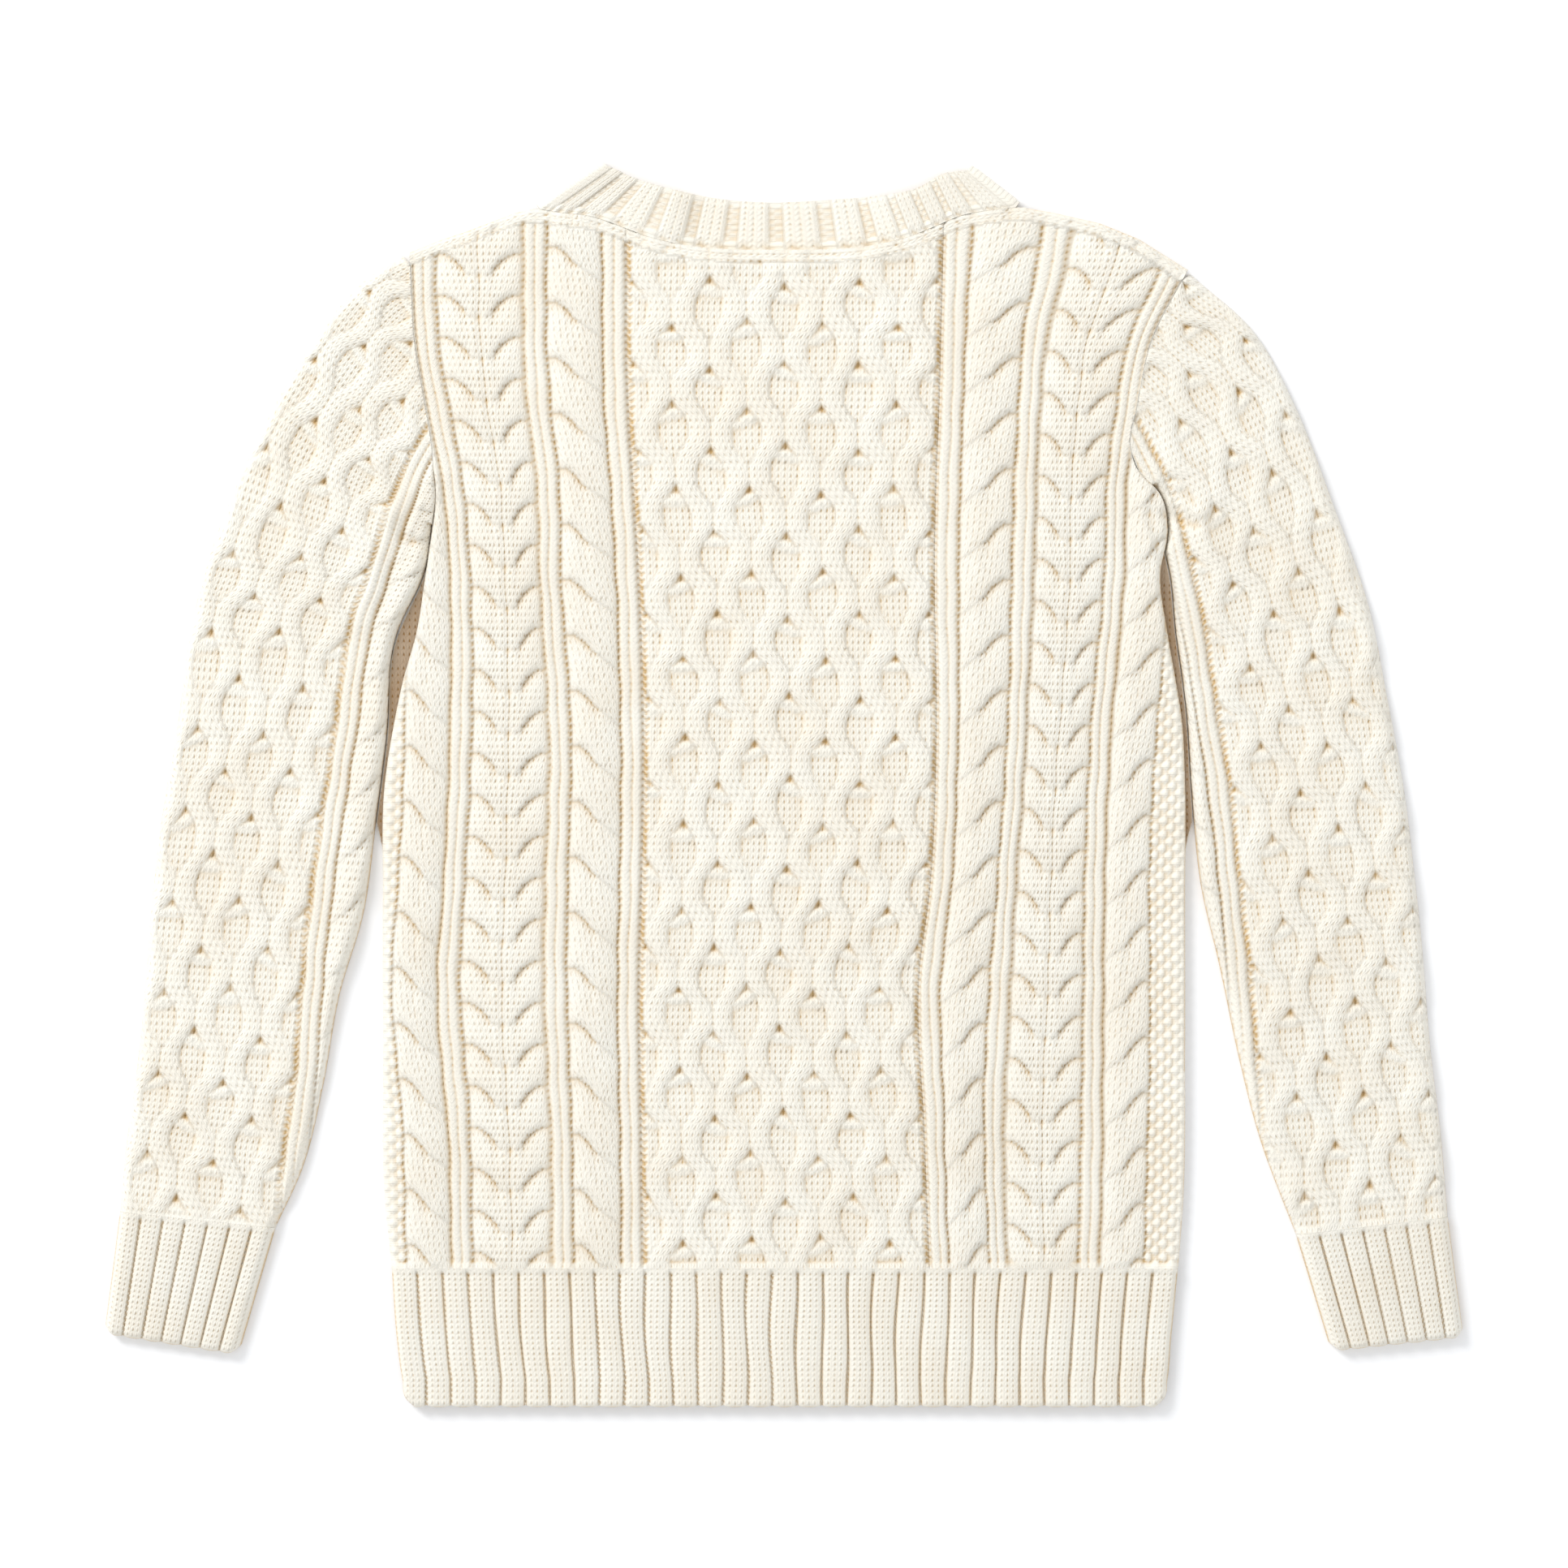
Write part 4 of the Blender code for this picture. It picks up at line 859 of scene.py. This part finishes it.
def cotton_yarn(name, crest, hollow_shade, drawn):
    """Plied cotton yarn, knitted: matte, with a warm painted shade in the hollows for the light that passes
    from strand to strand.
    """
    material = bpy.data.materials.new(name)
    material.use_nodes = True
    tree = material.node_tree
    shader = tree.nodes["Principled BSDF"]
    for socket, value in (("Roughness", 0.86), ("IOR", 1.53), ("Specular IOR Level", 0.22),
                          ("Sheen Weight", 0.25), ("Sheen Roughness", 0.55)):
        shader.inputs[socket].default_value = value
    where = node(tree, "ShaderNodeTexCoord", {}, {}, "Object")
    fibre = node(tree, "ShaderNodeTexNoise", {2: TUFTS, 3: 3.0, 4: 0.6}, {0: where})
    patches = node(tree, "ShaderNodeTexNoise", {2: SHADES, 3: 2.0}, {0: where})
    shade = node(tree, RANGE, {1: 0.3, 2: 0.7, 4: 0.12}, {0: patches})
    if drawn:
        sunken, stitch, course = [node(tree, "ShaderNodeAttribute", {"attribute_name": label}, {}, "Fac")
                                  for label in ("sunken", "stitch", "course")]
        # Painted shade in the hollows, by how sunken each point is
        deep = node(tree, MATH, {"operation": "POWER", 1: 1.15}, {0: sunken})
        shade = node(tree, MATH, {"operation": "ADD"}, {0: deep, 1: shade})
    else:
        across, along = [node(tree, "ShaderNodeSeparateXYZ", {}, {0: where}, axis) for axis in (0, 1)]
        stitch = node(tree, MATH, {"operation": "MULTIPLY", 1: 1000 / WALE}, {0: across})
        course = node(tree, MATH, {"operation": "MULTIPLY", 1: 1000 / ROW}, {0: along})
        # Painted shade: the front's upward face shows only deep in the gap between body and sleeve, so faces
        # that point up take the darker gap colour
        facing = node(tree, "ShaderNodeNewGeometry", {}, {}, "Normal")
        upward = node(tree, "ShaderNodeSeparateXYZ", {}, {0: facing}, 2)
        gap = node(tree, RANGE, {1: 0.3, 2: 0.9, 4: 0.75}, {0: upward})
        shade = node(tree, MATH, {"operation": "ADD"}, {0: gap, 1: shade})
    inward = node(tree, MATH, {"operation": "PINGPONG", 1: 0.5}, {0: stitch})
    slope = node(tree, MATH, {"operation": "MULTIPLY_ADD", 1: SLANT}, {0: inward, 2: course})
    turn = node(tree, MATH, {"operation": "MULTIPLY_ADD", 1: TURN, 2: -0.75 * TURN}, {0: slope})
    arm = node(tree, MATH, {"operation": "COSINE"}, {0: turn})
    strand = node(tree, MATH, {"operation": "MULTIPLY", 1: PLIES * TURN}, {0: slope})
    ply = node(tree, MATH, {"operation": "SINE"}, {0: strand})
    sides = node(tree, MATH, {"operation": "MULTIPLY", 1: 2 * TURN}, {0: inward})
    column = node(tree, MATH, {"operation": "COSINE"}, {0: sides})
    edge = node(tree, RANGE, {2: 0.17, 3: 1.0, 4: 0.0}, {0: inward})
    between = node(tree, RANGE, {1: 0.1, 2: 0.9}, {0: arm})
    tension = node(tree, "ShaderNodeTexNoise", {2: TENSION, 3: 1.0}, {0: where})
    opened = node(tree, RANGE, {1: 0.38, 2: 0.62, 3: 0.15}, {0: tension})
    open_edge = node(tree, MATH, {"operation": "MULTIPLY"}, {0: edge, 1: opened})
    hole = node(tree, MATH, {"operation": "MULTIPLY"}, {0: open_edge, 1: between})
    height = fibre
    for part, share in ((arm, -0.4), (column, -0.25), (ply, 0.15), (hole, -1.0)):
        height = node(tree, MATH, {"operation": "MULTIPLY_ADD", 1: share}, {0: part, 2: height})
    bump = node(tree, "ShaderNodeBump", {0: 0.5, 1: 0.0008}, {"Height": height})
    tree.links.new(bump, shader.inputs["Normal"])
    # Painted shade in the pinholes as well; the mix below lays the darker shade colour on by this mask
    shade = node(tree, MATH, {"operation": "MULTIPLY_ADD", 1: 0.48, "use_clamp": True}, {0: hole, 2: shade})
    ends = {"data_type": "RGBA", 6: (*linear(crest), 1), 7: (*linear(hollow_shade), 1)}
    tree.links.new(node(tree, "ShaderNodeMix", ends, {0: shade}, 2), shader.inputs["Base Color"])
    return material


class SweaterSizes(bpy.types.PropertyGroup):
    """Sizes of the stage round the garment."""
    view_width: bpy.props.FloatProperty(
        name="View width", description="Width of floor that the camera takes in",
        default=0.8887, unit="LENGTH")
    camera_height: bpy.props.FloatProperty(
        name="Camera height", description="Height of the camera over the floor", default=3.2, unit="LENGTH")


class SweaterColours(bpy.types.PropertyGroup):
    """Colours of the yarn, of the painted shade in its hollows and in the gap between body and sleeve, and of
    the floor, as sRGB hex values.
    """
    crest: bpy.props.StringProperty(
        name="Yarn", description="Colour of the yarn where it lies open to the light", default="#F1EDE2")
    # Painted shade, mixed into the yarn in gutters, between stitches and in pinholes
    hollow_shade: bpy.props.StringProperty(
        name="Hollow", description="Colour of the yarn in gutters and between stitches", default="#D3B27C")
    # Painted shade for the deep gap between body and sleeve, laid on the front's upward face
    gap: bpy.props.StringProperty(
        name="Gap", description="Colour of the yarn in the gap between body and sleeve", default="#8A6534")
    floor: bpy.props.StringProperty(
        name="Floor", description="Colour of the floor", default="#F7F7F8")


def settle(piece, solid):
    """Sets a piece on the garment in place of its plain solid."""
    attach(piece, "root")
    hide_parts(solid)


def yarn(context, name="knitted_cotton_yarn", drawn=True):
    """The garment's yarn, made once."""
    found = bpy.data.materials.get(name)
    if found is None:
        colours = context.scene.sweater_colours
        found = cotton_yarn(name, colours.crest, colours.hollow_shade if drawn else colours.gap, drawn)
    return found


class SWEATER_OT_back(bpy.types.Operator):
    """Knits the back: honeycomb in the middle, ribs, ropes and horseshoes at each side"""
    bl_idname = "sweater.back"
    bl_label = "Back"

    def execute(self, context):
        material = yarn(context)
        eyes = np.arange(-HONEYCOMB_HALF, HONEYCOMB_HALF + 0.01, ACROSS)
        middle = np.concatenate([[-SPLIT, -24.5], eyes, [24.5, SPLIT]])
        sides = side_columns()
        centre = back_part("back_honeycomb_knit", middle, material)
        left = back_part("back_left_cables_knit", -sides[::-1], material)
        right = back_part("back_right_cables_knit", sides, material)
        for piece in (centre, left, right):
            settle(piece, "back_panel")
        return {"FINISHED"}


class SWEATER_OT_front(bpy.types.Operator):
    """Knits the front and its welt, which lie underneath"""
    bl_idname = "sweater.front"
    bl_label = "Front"

    def execute(self, context):
        material = yarn(context, "knitted_cotton_yarn_plain", False)
        front = plain_layer("front_layer_knit", front_outline(), LOWER_WALL, material)
        welt = plain_layer("front_welt_knit", welt_outline(), LOWER_WALL - 1.0, material)
        settle(front, "front_panel")
        settle(welt, "front_hem_rib")
        return {"FINISHED"}


class SWEATER_OT_welt(bpy.types.Operator):
    """Knits the ribbed welt of the back"""
    bl_idname = "sweater.welt"
    bl_label = "Back welt"

    def execute(self, context):
        piece = back_welt(yarn(context))
        settle(piece, "back_hem_rib")
        return {"FINISHED"}


class SWEATER_OT_sleeves(bpy.types.Operator):
    """Knits both sleeves, each a tube laid flat"""
    bl_idname = "sweater.sleeves"
    bl_label = "Sleeves"

    def execute(self, context):
        material = yarn(context)
        for name, table, side in (("left_sleeve", LEFT_SLEEVE, -1), ("right_sleeve", RIGHT_SLEEVE, 1)):
            piece = sleeve_knit(name + "_knit", table, side, material)
            settle(piece, name)
        return {"FINISHED"}


class SWEATER_OT_cuffs(bpy.types.Operator):
    """Knits both ribbed cuffs"""
    bl_idname = "sweater.cuffs"
    bl_label = "Cuffs"

    def execute(self, context):
        material = yarn(context)
        for name, corners in (("left_cuff", LEFT_CUFF), ("right_cuff", RIGHT_CUFF)):
            piece = cuff_knit(name + "_knit", corners, material)
            settle(piece, name + "_rib")
        return {"FINISHED"}


class SWEATER_OT_neckband(bpy.types.Operator):
    """Knits the ribbed neckband, a ring laid flat"""
    bl_idname = "sweater.neckband"
    bl_label = "Neckband"

    def execute(self, context):
        piece = neckband_knit(yarn(context))
        settle(piece, "neckband")
        return {"FINISHED"}


class SWEATER_OT_stage(bpy.types.Operator):
    """Sets the floor, the light and the camera"""
    bl_idname = "sweater.stage"
    bl_label = "Stage"

    def execute(self, context):
        scene = context.scene
        sizes = scene.sweater_sizes
        bm = bmesh.new()
        bmesh.ops.create_grid(bm, x_segments=1, y_segments=1, size=4.0)
        material = bpy.data.materials.new("matte_white_board")
        material.use_nodes = True
        shader = material.node_tree.nodes["Principled BSDF"]
        shader.inputs["Base Color"].default_value = (*linear(scene.sweater_colours.floor), 1)
        shader.inputs["Roughness"].default_value = 0.9
        floor = placed("floor", bm, material)
        floor.location = (0, 0, -0.0002)
        camera = bpy.data.cameras.new("overhead")
        camera.lens = camera.sensor_width * sizes.camera_height / sizes.view_width
        overhead = bpy.data.objects.new("overhead", camera)
        overhead.location = (0, 0, sizes.camera_height)
        scene.collection.objects.link(overhead)
        scene.camera = overhead
        key = bpy.data.lights.new("window", "AREA")
        key.shape = "DISK"
        key.size = 2.4
        key.energy = 185
        lamp = bpy.data.objects.new("window", key)
        lamp.location = (-3.2, 3.2, 3.4)
        lamp.rotation_euler = (Vector((0, 0, 0)) - lamp.location).to_track_quat("-Z", "Y").to_euler()
        scene.collection.objects.link(lamp)
        world = bpy.data.worlds.new("studio")
        scene.world = world
        world.use_nodes = True
        back = world.node_tree.nodes["Background"]
        back.inputs[0].default_value = (0.97, 0.985, 1.0, 1)
        back.inputs[1].default_value = 0.9
        scene.view_settings.view_transform = "Standard"
        return {"FINISHED"}


STEPS = ("back", "front", "welt", "sleeves", "cuffs", "neckband", "stage")


class SWEATER_PT_panel(bpy.types.Panel):
    """Lists the garment's pieces in the sidebar"""
    bl_label = "Fisherman sweater"
    bl_idname = "SWEATER_PT_panel"
    bl_space_type = "VIEW_3D"
    bl_region_type = "UI"
    bl_category = "Sweater"

    def draw(self, context):
        for group in (context.scene.sweater_sizes, context.scene.sweater_colours):
            for name in group.__annotations__:
                self.layout.prop(group, name)
        for name in STEPS:
            self.layout.operator("sweater." + name)


CLASSES = (
    SweaterSizes, SweaterColours, SWEATER_OT_back, SWEATER_OT_front, SWEATER_OT_welt, SWEATER_OT_sleeves,
    SWEATER_OT_cuffs, SWEATER_OT_neckband, SWEATER_OT_stage, SWEATER_PT_panel,
)


def register():
    for cls in CLASSES:
        bpy.utils.register_class(cls)
    bpy.types.Scene.sweater_sizes = bpy.props.PointerProperty(type=SweaterSizes)
    bpy.types.Scene.sweater_colours = bpy.props.PointerProperty(type=SweaterColours)


def unregister():
    del bpy.types.Scene.sweater_colours
    del bpy.types.Scene.sweater_sizes
    for cls in reversed(CLASSES):
        bpy.utils.unregister_class(cls)


def main():
    """Registers the add-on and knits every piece."""
    register()
    for name in STEPS:
        getattr(bpy.ops.sweater, name)()


if __name__ == "__main__":
    main()
